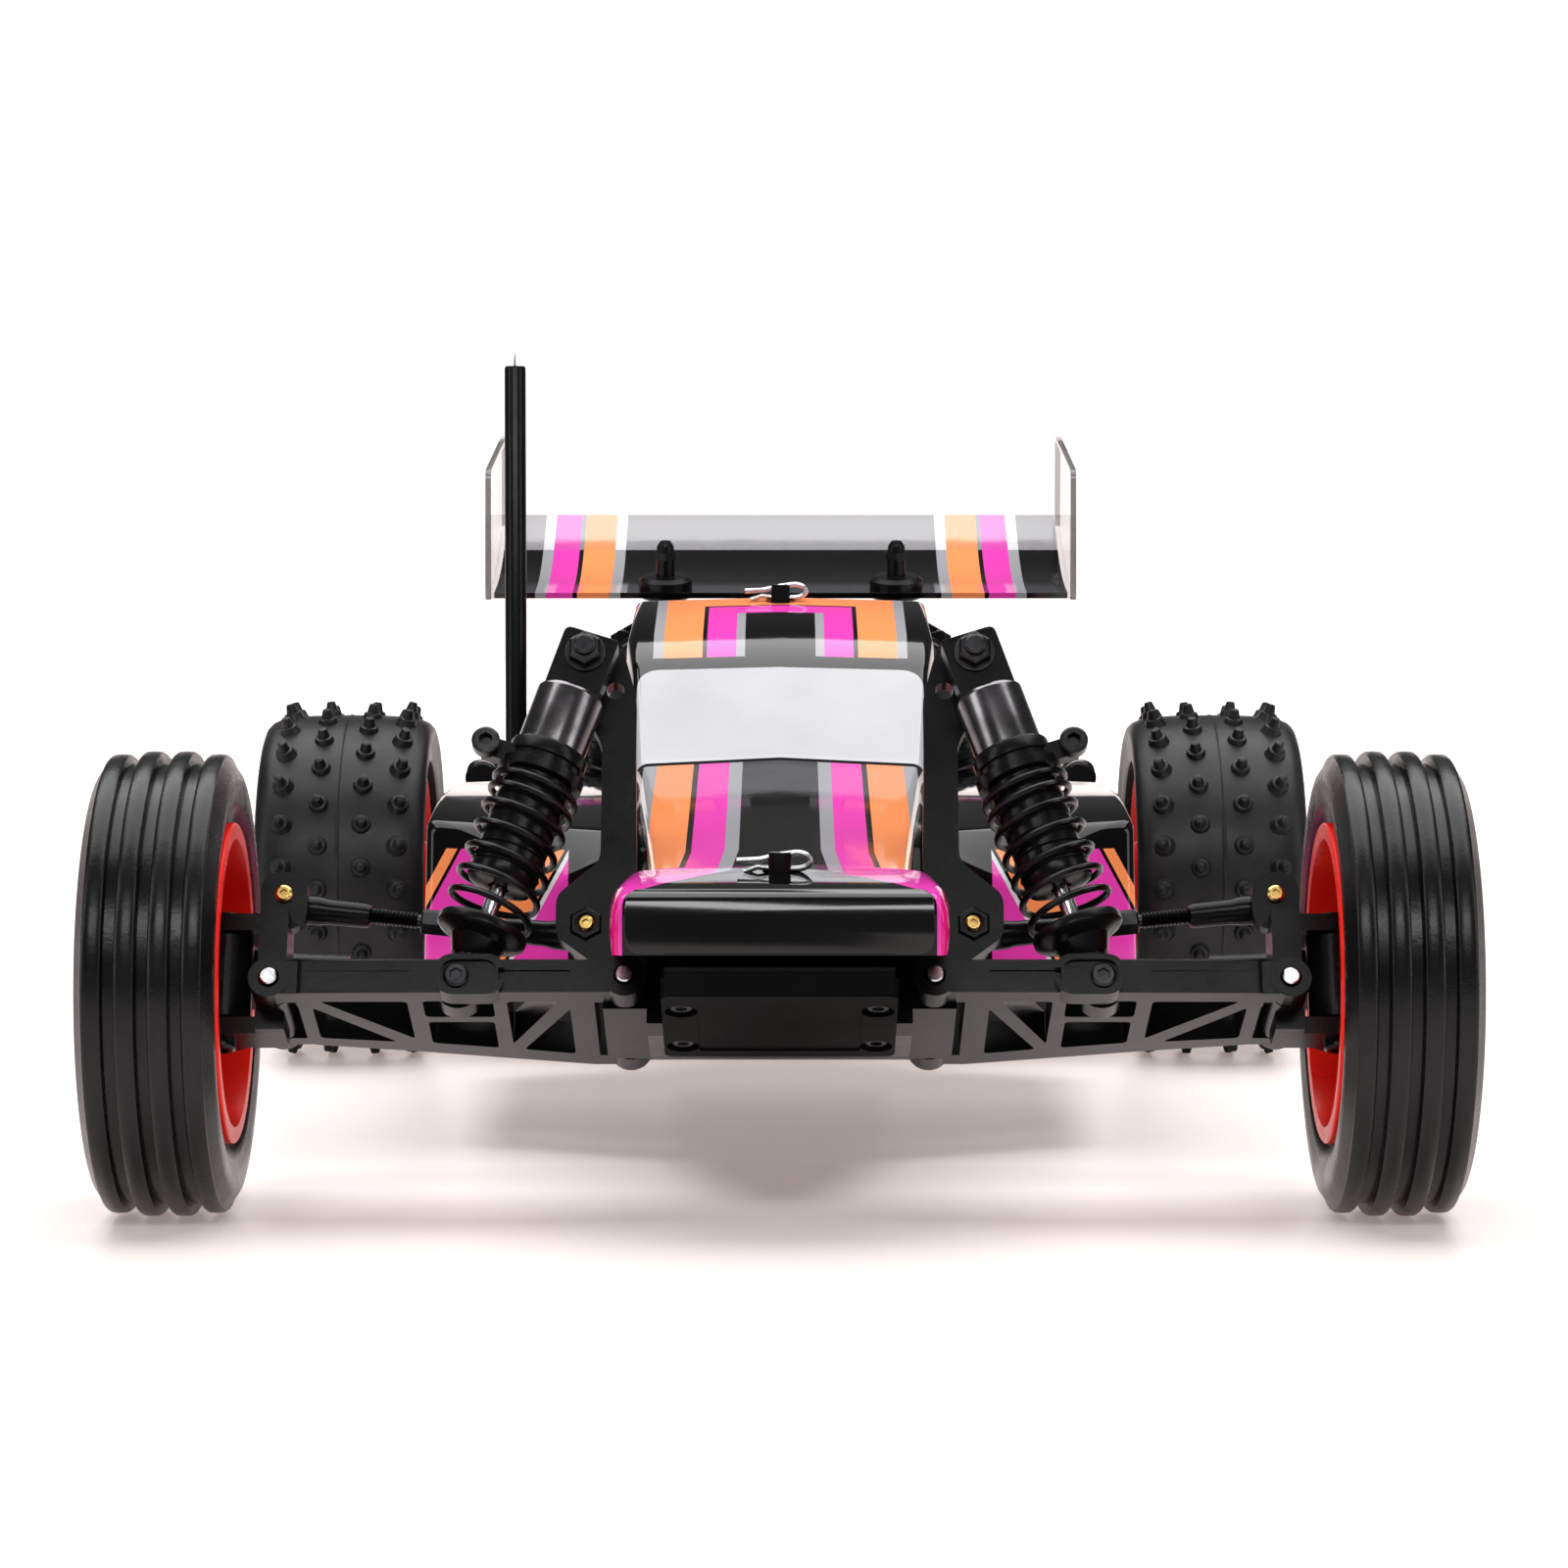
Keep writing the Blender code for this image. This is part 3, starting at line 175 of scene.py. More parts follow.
class Look:
    """One material being put together from nodes."""

    def __init__(self, name, roughness=0.4, metallic=0.0, **shader_values):
        self.material = bpy.data.materials.new(name)
        self.material.use_nodes = True
        self.tree = self.material.node_tree
        self.shader = self.tree.nodes["Principled BSDF"]
        self.shader.inputs["Roughness"].default_value = roughness
        self.shader.inputs["Metallic"].default_value = metallic
        for label, value in shader_values.items():
            self.shader.inputs[label.replace("_", " ")].default_value = value
        self.coordinate = self.tree.nodes.new("ShaderNodeTexCoord").outputs["Object"]

    def axes(self):
        """x, y and z over the surface, in millimetres."""
        split = self.tree.nodes.new("ShaderNodeSeparateXYZ")
        self.tree.links.new(self.coordinate, split.inputs[0])
        return [Field(self.tree, output) * (1.0 / MM) for output in split.outputs]

    def noise(self, per_mm, detail=3.0, stretch=(1.0, 1.0, 1.0)):
        """Noise about 0.5, with this many bumps in a millimetre."""
        mapping = self.tree.nodes.new("ShaderNodeMapping")
        mapping.inputs["Scale"].default_value = stretch
        self.tree.links.new(self.coordinate, mapping.inputs["Vector"])
        texture = self.tree.nodes.new("ShaderNodeTexNoise")
        texture.inputs["Scale"].default_value = per_mm / MM
        texture.inputs["Detail"].default_value = detail
        self.tree.links.new(mapping.outputs[0], texture.inputs["Vector"])
        return Field(self.tree, texture.outputs[0])

    def mix(self, share, first, second):
        """A colour blended from two, each a tuple or a socket."""
        node = self.tree.nodes.new("ShaderNodeMix")
        node.data_type = 'RGBA'
        self.tree.links.new(share.socket, node.inputs[0])
        for slot, value in ((6, first), (7, second)):
            if isinstance(value, tuple):
                node.inputs[slot].default_value = (*value, 1.0)
            else:
                self.tree.links.new(value, node.inputs[slot])
        return node.outputs[2]

    def ramp(self, field, low, high):
        """The field stretched from low..high to 0..1."""
        node = self.tree.nodes.new("ShaderNodeMapRange")
        node.inputs["From Min"].default_value = low
        node.inputs["From Max"].default_value = high
        self.tree.links.new(field.socket, node.inputs["Value"])
        return Field(self.tree, node.outputs[0])

    def colour(self, value):
        if isinstance(value, tuple):
            self.shader.inputs["Base Color"].default_value = (*value, 1.0)
        else:
            self.tree.links.new(value, self.shader.inputs["Base Color"])

    def link(self, label, field):
        self.tree.links.new(field.socket, self.shader.inputs[label])

    def bump(self, field, height_mm, strength=1.0):
        node = self.tree.nodes.new("ShaderNodeBump")
        node.inputs["Strength"].default_value = strength
        node.inputs["Distance"].default_value = height_mm * MM
        self.tree.links.new(field.socket, node.inputs["Height"])
        previous = self.shader.inputs["Normal"]
        if previous.is_linked:
            self.tree.links.new(previous.links[0].from_socket, node.inputs["Normal"])
        self.tree.links.new(node.outputs[0], previous)

    def vary_roughness(self, base, swing, per_mm=0.12):
        self.link("Roughness", self.noise(per_mm) * swing + (base - swing / 2.0))


def moulded_plastic(name, dark, light, roughness, grain=0.012, shine=0.20, density=1.42):
    """Injection-moulded nylon: a fine spark-eroded grain, slight flow marks and rub marks."""
    look = Look(name, Specular_IOR_Level=shine, IOR=density)
    flow = look.ramp(look.noise(0.09, 4.0), 0.35, 0.65)
    look.colour(look.mix(flow, dark, light))
    look.vary_roughness(roughness, 0.16)
    look.bump(look.noise(6.0, 2.0), grain)
    look.bump(look.noise(0.35, 2.0), 0.03, 0.5)
    return look.material


def tyre_rubber(name, dark, light, roughness):
    """Soft rubber: a waxy bloom in patches over a fine mould grain."""
    look = Look(name, Specular_IOR_Level=0.36, IOR=1.4)
    bloom = look.ramp(look.noise(0.11, 5.0), 0.42, 0.75)
    look.colour(look.mix(bloom, dark, light))
    look.link("Roughness", look.noise(0.2, 4.0) * 0.22 + (roughness - 0.11))
    look.bump(look.noise(3.5, 3.0), 0.02)
    look.bump(look.noise(0.5, 2.0), 0.05, 0.6)
    return look.material


def worked_metal(name, dark, light, roughness, stretch=(1.0, 1.0, 12.0)):
    """Turned or drawn metal: fine lines along the cut and a little tarnish."""
    look = Look(name, metallic=1.0)
    lines = look.noise(2.2, 3.0, stretch)
    tarnish = look.ramp(look.noise(0.25, 4.0), 0.35, 0.7)
    look.colour(look.mix(tarnish, light, dark))
    look.link("Roughness", lines * 0.18 + (roughness - 0.09))
    look.bump(lines, 0.006, 0.6)
    return look.material


BLACK = (0.002, 0.002, 0.0024)
PINK = (0.74, 0.045, 0.40)
DEEP_PINK = (0.62, 0.008, 0.17)
ORANGE = (0.90, 0.27, 0.09)
SILVER = (0.30, 0.30, 0.32)
WHITE = (0.62, 0.62, 0.64)
SMOKE = (0.20, 0.20, 0.22)


def banded(look, distance, bands, base):
    """Paints each (low, high, colour) band of a distance over the base colour."""
    colour = base
    for low, high, paint in bands:
        colour = look.mix(distance.band(low, high), colour, paint)
    return colour


def rounded_box(x, y, centre, half, radius):
    """How far outside a rounded rectangle a point lies; negative inside."""
    dx = (abs(x - centre[0]) - (half[0] - radius)).max(0.0)
    dy = (abs(y - centre[1]) - (half[1] - radius)).max(0.0)
    return dx.length(dy) - radius


def hood_colour(look, half, y):
    """Stripes down the bonnet, swept outwards to a magenta nose with a black chevron."""
    flared = half - (y * -1.0 - 90.0).max(0.0) * 0.07
    stripes = [(4.9, 6.6, SILVER), (6.6, 10.6, PINK), (11.3, 16.1, ORANGE),
               (16.1, 17.9, SILVER)]
    colour = banded(look, flared, stripes, BLACK)
    colour = look.mix(y.under(NOSE_Y) * flared.over(6.6), colour, PINK)
    deeper = y.under(NOSE_Y) * half.over(18.3)
    colour = look.mix(deeper, colour, DEEP_PINK)
    chevron = y + (half - 5.6).max(0.0) * 1.43
    return look.mix(chevron.under(-101.5), colour, BLACK)


def roof_colour(look, half, y):
    """A horseshoe of bands, closed across the back of the roof."""
    horseshoe = half.max((y - 4.5) * 0.95 + 6.0)
    bands = [(6.0, 10.0, PINK), (10.6, 15.9, ORANGE), (15.9, 17.3, SILVER)]
    colour = banded(look, horseshoe, bands, BLACK)
    return look.mix(half.band(4.8, 6.0) * horseshoe.under(6.0), colour, SILVER)


def pod_front_colour(look, half, z):
    """Slanted bright panels with fine pale and dark rules between them."""
    slant = half + (z - 24.0) * 0.55
    return banded(look, slant, [(28.0, 35.6, PINK), (35.6, 36.2, WHITE), (36.7, 41.0, ORANGE),
                                (41.5, 42.1, WHITE), (42.1, 50.4, PINK), (50.9, 52.4, ORANGE)],
                  BLACK)


def painted_shell():
    """Gloss black polycarbonate with bright bonnet, roof and side-pod graphics and a
    silvered windscreen."""
    look = Look("shell_paint", roughness=0.06, IOR=1.35)
    x, y, z = look.axes()
    half = abs(x)
    colour = look.mix(y.over(-14.0), hood_colour(look, half, y), roof_colour(look, half, y))
    surround = rounded_box(x, y, (0.0, -26.6), (21.2, 13.4), 4.0)
    colour = look.mix(surround.under(0.0) * y.over(-36.0), colour, BLACK)
    screen = rounded_box(x, y, (0.0, -28.0), (19.3, 12.3), 3.0).under(0.0) * y.over(-34.9)
    streak = look.ramp(look.noise(0.05, 2.0), 0.3, 0.7)
    silvered = look.mix(streak, (0.36, 0.36, 0.385), (0.45, 0.45, 0.47))
    colour = look.mix(screen, colour, silvered)
    upright = half.over(18.9) * z.under(47.0) * y.over(-44.0)
    hood_side = half.over(14.5) * (z - y * 0.16).under(53.0) * y.band(NOSE_Y, -44.0)
    colour = look.mix(upright.max(hood_side), colour, BLACK)
    pod_front = half.over(27.6) * y.band(-44.0, -33.0) * z.band(24.0, 39.6)
    colour = look.mix(pod_front, colour, pod_front_colour(look, half, z))
    sweep = z - y * 0.06
    flank = banded(look, sweep, [(29.6, 30.4, WHITE), (31.0, 34.0, ORANGE), (34.6, 37.6, PINK),
                                 (37.9, 38.6, SILVER)], BLACK)
    colour = look.mix(half.over(42.5) * y.band(-32.0, 44.0), colour, flank)
    look.colour(colour)
    look.link("Roughness", look.noise(0.3, 3.0) * 0.05 + 0.04)
    look.bump(look.noise(0.18, 2.0), 0.05, 0.3)
    return look.material


def smoked_wing():
    """Smoked clear polycarbonate, backed with black except for a strip along its rear, with
    bright stripes towards each end and darker cut edges."""
    look = Look("wing_smoke", roughness=0.08, IOR=1.5)
    x, y, z = look.axes()
    half = abs(x)
    stripes = [(25.2, 26.9, SILVER), (26.9, 32.0, ORANGE), (32.7, 36.9, PINK),
               (36.9, 38.6, SILVER)]
    plane = half.under(DAM_X)
    strip = y.over(109.5) * plane
    backed = banded(look, half, stripes, BLACK)
    pale = banded(look, half, [(25.2, 26.9, WHITE), (26.9, 32.0, (0.62, 0.25, 0.10)),
                               (32.7, 36.9, (0.60, 0.06, 0.36)), (36.9, 38.6, WHITE)], SMOKE)
    colour = look.mix(strip, backed, pale)
    dam = half.over(DAM_X)
    top_edge = (z - y * 0.152).over(78.1)
    front_edge = (y - z * 0.049).under(77.0)
    edge = front_edge.max(top_edge).max(y.over(122.4)) * dam
    colour = look.mix(dam, colour, (0.42, 0.40, 0.40))
    colour = look.mix(edge, colour, (0.03, 0.03, 0.03))
    look.colour(colour)
    bare = strip * (half.under(25.2).max(half.over(38.6)))
    clear = bare * 0.30 + dam * 0.66 - edge * 0.50
    look.link("Alpha", clear * -1.0 + 1.0)
    look.link("Roughness", look.noise(0.3, 3.0) * 0.06 + 0.05)
    look.bump(look.noise(0.12, 2.0), 0.08, 0.4)
    return look.material


def panel_gloss():
    """Deep black polished front panel with a faint mottle."""
    look = Look("gloss_black", Specular_IOR_Level=0.5)
    mottle = look.ramp(look.noise(0.09, 3.0), 0.3, 0.7)
    look.colour(look.mix(mottle, (0.0018, 0.0018, 0.0022), (0.0034, 0.0034, 0.0038)))
    look.vary_roughness(0.12, 0.06)
    look.bump(look.noise(0.25, 2.0), 0.03, 0.3)
    return look.material


def build_materials():
    return {
        "nylon": moulded_plastic("black_nylon", (0.0028, 0.0028, 0.003),
                                 (0.0058, 0.0058, 0.0062), 0.25),
        # The bumper's nylon is a rougher copy of the black nylon. Its darker colour and weak
        # reflections are painted shade for the shadowed floor beneath it.
        "shade_painted_nylon": moulded_plastic("nylon_painted_shade", (0.0022, 0.0022, 0.0024), (0.0042, 0.0042, 0.0046),
                                0.34, shine=0.06, density=1.2),
        "case": moulded_plastic("case_plastic", (0.012, 0.013, 0.015), (0.020, 0.021, 0.024), 0.5),
        "white": moulded_plastic("natural_nylon", (0.66, 0.65, 0.60), (0.78, 0.77, 0.73), 0.45),
        "red": moulded_plastic("red_nylon", (0.86, 0.012, 0.006), (0.98, 0.024, 0.012), 0.28,
                               0.006),
        "rubber": tyre_rubber("tyre_rubber", (0.0030, 0.0030, 0.0033), (0.0075, 0.0075, 0.008),
                              0.27),
        "rear_rubber": tyre_rubber("rear_tyre_rubber", (0.0055, 0.0055, 0.006),
                                   (0.016, 0.016, 0.017), 0.40),
        "gunmetal": worked_metal("gunmetal", (0.10, 0.095, 0.10), (0.22, 0.21, 0.22), 0.20),
        "steel": worked_metal("bright_steel", (0.42, 0.42, 0.43), (0.68, 0.68, 0.69), 0.24),
        "can": worked_metal("motor_can", (0.34, 0.34, 0.34), (0.52, 0.52, 0.52), 0.36),
        "brass": worked_metal("brass", (0.42, 0.25, 0.07), (0.80, 0.56, 0.20), 0.22),
        "spring": worked_metal("black_spring", (0.010, 0.010, 0.011), (0.035, 0.034, 0.036),
                               0.30),
        "screw": worked_metal("black_screw", (0.012, 0.012, 0.013), (0.045, 0.045, 0.048), 0.32),
        "wrap": moulded_plastic("battery_wrap", (0.020, 0.065, 0.28), (0.035, 0.10, 0.38), 0.22),
        "gloss": panel_gloss(),
        "shell": painted_shell(),
        "wing": smoked_wing(),
    }


MATERIALS = build_materials()


# ---- shapes: closed polyhedra held as (corners, faces) ---------------------------------------
def slab(outline, plane, low, high):
    """A flat outline in the named plane, extruded along the third axis."""
    order = {"xs": (0, 1, 2), "xt": (0, 2, 1), "st": (1, 2, 0)}[plane]
    corners = []
    for level in (low, high):
        for first, second in outline:
            corner = [0.0, 0.0, 0.0]
            corner[order[0]], corner[order[1]], corner[order[2]] = first, second, level
            corners.append(Vector(corner))
    count = len(outline)
    faces = [list(range(count)), list(range(count, 2 * count))]
    for i in range(count):
        j = (i + 1) % count
        faces.append([i, j, count + j, count + i])
    return corners, faces


def box(low, high):
    outline = [(low[0], low[1]), (high[0], low[1]), (high[0], high[1]), (low[0], high[1])]
    return slab(outline, "xs", low[2], high[2])


def turned(profile, start, direction, sides=24, closed=False):
    """Turns (distance, radius) points about an axis; a closed profile makes a ring."""
    spin = Vector(direction).to_track_quat('Z', 'Y')
    corners = []
    for distance, radius in profile:
        for k in range(sides):
            angle = 2.0 * math.pi * (k + 0.5) / sides
            local = Vector((radius * math.cos(angle), radius * math.sin(angle), distance))
            corners.append(Vector(start) + spin @ local)
    faces = []
    rows = len(profile)
    for i in range(rows if closed else rows - 1):
        j = (i + 1) % rows
        for k in range(sides):
            m = (k + 1) % sides
            faces.append([i * sides + k, i * sides + m, j * sides + m, j * sides + k])
    if not closed:
        faces.append(list(range(sides)))
        faces.append(list(range((rows - 1) * sides, rows * sides)))
    return corners, faces


def rod(start, end, radius, end_radius=None, sides=24):
    span = Vector(end) - Vector(start)
    last = radius if end_radius is None else end_radius
    return turned([(0.0, radius), (span.length, last)], start, span, sides)


def ball(centre, radius, direction=(0, 0, 1), sides=20, steps=12):
    profile = [(-radius * math.cos(math.pi * i / steps), radius * math.sin(math.pi * i / steps))
               for i in range(1, steps)]
    return turned(profile, centre, direction, sides)


def disc(x, t, radius, low, high, sides=28):
    """A disc whose axis runs along s."""
    return rod((x, low, t), (x, high, t), radius, sides=sides)


def rods_along_s(x, spans, radius):
    """Round bosses or bores beside a hinge, one for each (low, high) span of s."""
    return [rod((x, low, 0), (x, high, 0), radius) for low, high in spans]


def rounded_outline(points, radius, steps=4):
    """An outline with each corner replaced by a short curve."""
    made = []
    count = len(points)
    for i, point in enumerate(points):
        here = Vector(point)
        before = Vector(points[i - 1]) - here
        after = Vector(points[(i + 1) % count]) - here
        reach = min(radius, before.length * 0.45, after.length * 0.45)
        first = here + before.normalized() * reach
        last = here + after.normalized() * reach
        for k in range(steps + 1):
            share = k / steps
            bend = first.lerp(here, share).lerp(here.lerp(last, share), share)
            made.append((bend.x, bend.y))
    return made


def placed(shape, matrix):
    return [matrix @ corner for corner in shape[0]], shape[1]


def gathered(shapes):
    """Several shapes that don't touch, as one."""
    corners, faces = [], []
    for shape in shapes:
        offset = len(corners)
        corners.extend(shape[0])
        faces.extend([[i + offset for i in face] for face in shape[1]])
    return corners, faces


def mesh_of(shape, scale=1.0):
    mesh = bpy.data.meshes.new("shape")
    builder = bmesh.new()
    corners = [builder.verts.new(corner * scale) for corner in shape[0]]
    for face in shape[1]:
        builder.faces.new([corners[i] for i in face])
    bmesh.ops.recalc_face_normals(builder, faces=builder.faces)
    builder.to_mesh(mesh)
    builder.free()
    return mesh


def linked(name, mesh):
    obj = bpy.data.objects.new(name, mesh)
    bpy.context.scene.collection.objects.link(obj)
    return obj


def evaluated(obj):
    bpy.context.view_layer.update()
    graph = bpy.context.evaluated_depsgraph_get()
    return bpy.data.meshes.new_from_object(obj.evaluated_get(graph))


def united(shapes, cuts=()):
    """One mesh, in millimetres, of all the shapes less the cuts."""
    helpers = [linked("shape", mesh_of(shape)) for shape in list(shapes) + list(cuts)]
    body = helpers[0]
    for number, helper in enumerate(helpers[1:], start=1):
        join = body.modifiers.new("join", 'BOOLEAN')
        join.operation = 'UNION' if number < len(shapes) else 'DIFFERENCE'
        join.solver = 'MANIFOLD'
        join.object = helper
    mesh = evaluated(body)
    for helper in helpers:
        bpy.data.objects.remove(helper, do_unlink=True)
    return mesh


def bevel_edges(obj, width_mm, segments, degrees):
    """Rounds each edge whose faces turn by more than this angle."""
    bevel = obj.modifiers.new("edges", 'BEVEL')
    bevel.width = width_mm * MM
    bevel.segments = segments
    bevel.limit_method = 'ANGLE'
    bevel.angle_limit = math.radians(degrees)
    return bevel


def soften(obj, width_mm):
    """Rounds the sharp edges and smooths the shading between them."""
    if width_mm > 0.0:
        bevel_edges(obj, width_mm, 2, SMOOTH_DEGREES).harden_normals = True
    sharp = BEVELLED_SMOOTH_DEGREES if width_mm > 0.0 else SMOOTH_DEGREES
    obj.data.shade_smooth()
    obj.data.set_sharp_from_angle(angle=math.radians(sharp))


def piece(name, finish, body, shapes, cuts=(), matrix=WORLD, side=1, bevel=0.2, nodes=()):
    """A named visible piece on a body, standing for any CAD nodes named."""
    to_car = MIRROR @ matrix if side < 0 else matrix
    mesh = united([placed(shape, to_car) for shape in shapes],
                  [placed(cut, to_car) for cut in cuts])
    mesh.transform(Matrix.Scale(MM, 4))
    mesh.materials.clear()
    mesh.materials.append(MATERIALS[finish])
    obj = linked(name, mesh)
    soften(obj, bevel)
    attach(obj, body)
    if nodes:
        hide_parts(*nodes)
    return obj


# ---- camera, floor and light -----------------------------------------------------------------
def build_camera():
    """A long lens low in front of the car, just below the height of its roof."""
    data = bpy.data.cameras.new("camera")
    data.sensor_width = 36.0
    data.lens = LENS_MM
    data.clip_start = 0.01
    camera = bpy.data.objects.new("camera", data)
    bpy.context.scene.collection.objects.link(camera)
    camera.location = CAMERA_PLACE
    camera.rotation_euler = (math.radians(90.0 - CAMERA_DIP_DEGREES), 0.0, 0.0)
    bpy.context.scene.camera = camera


def build_floor():
    """A pale seamless sweep: level under the car, curving up to a low wall far behind it."""
    bend = 0.35
    outline = [(-3.0, 0.0), (3.0, 0.0)]
    outline += [(3.0 + bend * math.sin(math.radians(a)), bend - bend * math.cos(math.radians(a)))
                for a in range(10, 100, 10)]
    outline.append((3.0 + bend, 0.75))
    mesh = bpy.data.meshes.new("floor")
    builder = bmesh.new()
    rows = [[builder.verts.new((x, y, z)) for y, z in outline] for x in (-4.0, 4.0)]
    for first, second, third, fourth in zip(rows[0], rows[0][1:], rows[1][1:], rows[1]):
        builder.faces.new((first, fourth, third, second))
    builder.to_mesh(mesh)
    builder.free()
    mesh.shade_smooth()
    floor = linked("floor", mesh)
    look = Look("studio_floor", roughness=0.32, IOR=1.4)
    tone = look.ramp(look.noise(0.02, 3.0), 0.2, 0.8)
    look.colour(look.mix(tone, (0.80, 0.755, 0.735), (0.83, 0.785, 0.765)))
    look.shader.inputs["Emission Color"].default_value = (0.26, 0.215, 0.205, 1.0)
    look.shader.inputs["Emission Strength"].default_value = 1.0
    mesh.materials.append(look.material)


def area_light(name, place, target, size, power, colour=(1.0, 1.0, 1.0)):
    data = bpy.data.lights.new(name, 'AREA')
    data.shape = 'RECTANGLE'
    data.size, data.size_y = size
    data.energy = power
    data.color = colour
    light = bpy.data.objects.new(name, data)
    light.location = place
    aim = Vector(target) - Vector(place)
    light.rotation_euler = aim.to_track_quat('-Z', 'Y').to_euler()
    bpy.context.scene.collection.objects.link(light)


def build_light():
    world = bpy.data.worlds.new("studio")
    world.use_nodes = True
    background = world.node_tree.nodes["Background"]
    background.inputs[0].default_value = (1.0, 1.0, 1.0, 1.0)
    background.inputs[1].default_value = 0.10
    bpy.context.scene.world = world
    bpy.context.scene.view_settings.view_transform = 'Standard'
    area_light("top_softbox", (0.0, 0.22, 0.95), (0.0, 0.22, 0.0), (1.4, 1.15), 19.0)
    area_light("left_softbox", (-1.0, -0.45, 0.45), (0, 0, 0.03), (0.3, 0.8), 2.2)
    area_light("right_softbox", (1.0, -0.45, 0.45), (0, 0, 0.03), (0.3, 0.8), 2.2)
    area_light("front_strip", (0.0, -1.2, 0.82), (0, -0.1, 0.04), (1.1, 0.2), 7.0)
    area_light("backdrop_wash", (0.0, 1.0, 1.4), (0, 3.2, 0.3), (2.4, 0.8), 80.0)


# ---- wheels ----------------------------------------------------------------------------------
def spokes(low, high, count, centre):
    """A box repeated evenly about an axle."""
    return [placed(box(low, high), Matrix.Translation(centre)
                   @ Matrix.Rotation(2.0 * math.pi * k / count, 4, 'X')) for k in range(count)]


def rib_profile():
    """The front tyre's section: four round-shouldered ribs and three wide grooves."""
    inner, outer = FRONT_INNER_X, WHEEL_OUTER_X
    points = [(inner + 1.8, 18.0), (inner + 1.8, 19.3), (inner + 1.2, 19.7), (inner + 0.75, 20.6),
              (inner + 0.35, 21.2), (inner + 0.32, 21.5), (inner + 0.1, 22.6),
              (inner, 24.0), (inner + 0.15, 25.1)]
    rib, groove = 2.4, 1.4
    edge = inner + (outer - inner - 4 * rib - 3 * groove) / 2.0
    for number in range(4):
        start = edge + number * (rib + groove)
        crown = TYRE_RADIUS - (0.0 if 0 < number < 3 else 0.35)
        points += [(start, crown - 0.75), (start + 0.12, crown - 0.3), (start + 0.45, crown - 0.05),
                   (start + rib / 2, crown), (start + rib - 0.45, crown - 0.05),
                   (start + rib - 0.12, crown - 0.3), (start + rib, crown - 0.75)]
        if number < 3:
            points += [(start + rib + 0.12, 26.0), (start + rib + groove - 0.12, 26.0)]
    mirrored = [(inner + outer - x, radius) for x, radius in points[:9]]
    return points + mirrored[::-1]


def front_wheel(side, label):
    body = f"front_wheel_{label}"
    centre = (0.0, FRONT_AXLE.y, FRONT_AXLE.z)
    across = (1, 0, 0)
    tyre = turned(rib_profile(), centre, across, 128, closed=True)
    piece(f"ribbed_tyre_{label}", "rubber", body, [tyre], side=side, bevel=0.0,
          nodes=[f"front_tyre_{label}"])
    inner, outer = FRONT_INNER_X, WHEEL_OUTER_X
    dish = [(inner + 0.3, 17.0), (inner + 0.25, 18.8), (inner + 0.45, 19.0), (inner + 1.3, 19.0),
            (inner + 1.5, 18.6), (inner + 1.7, 17.75), (outer - 1.7, 17.75), (outer - 1.5, 18.6),
            (outer - 1.3, 19.0), (outer - 0.45, 19.0), (outer - 0.25, 18.8), (outer - 0.35, 17.5),
            (outer - 2.4, 16.2), (outer - 3.4, 12.0), (outer - 3.6, 8.0), (outer - 2.6, 6.4),
            (outer - 1.9, 5.2), (outer - 1.8, 4.6), (outer - 1.8, 1.85), (70.9, 1.85),
            (70.9, 4.1), (outer - 5.6, 4.9), (outer - 5.2, 8.0), (outer - 4.9, 12.0),
            (outer - 4.4, 15.4), (outer - 5.6, 16.4), (inner + 1.4, 16.85)]
    rim = turned(dish, centre, across, 96, closed=True)
    ribs = spokes((outer - 3.2, 5.6, -1.1), (outer - 2.2, 16.6, 1.1), 6, centre)
    piece(f"front_rim_detail_{label}", "red", body, [rim] + ribs, side=side, bevel=0.12,
          nodes=[f"front_rim_{label}"])
    wheel_nut(f"front_wheel_nut_{label}", body, centre, outer - 1.7, side)


def wheel_nut(name, body, centre, x, side):
    start = (x, centre[1], centre[2])
    nut = [turned([(0.0, 3.0), (0.5, 3.0)], start, (1, 0, 0), 24),
           turned([(0.4, 2.5), (1.3, 2.5), (1.55, 2.2)], start, (1, 0, 0), 6)]
    bore = rod((x - 1, *centre[1:]), (x + 3, *centre[1:]), 1.56)
    piece(name, "steel", body, nut, [bore], side=side, bevel=0.08)


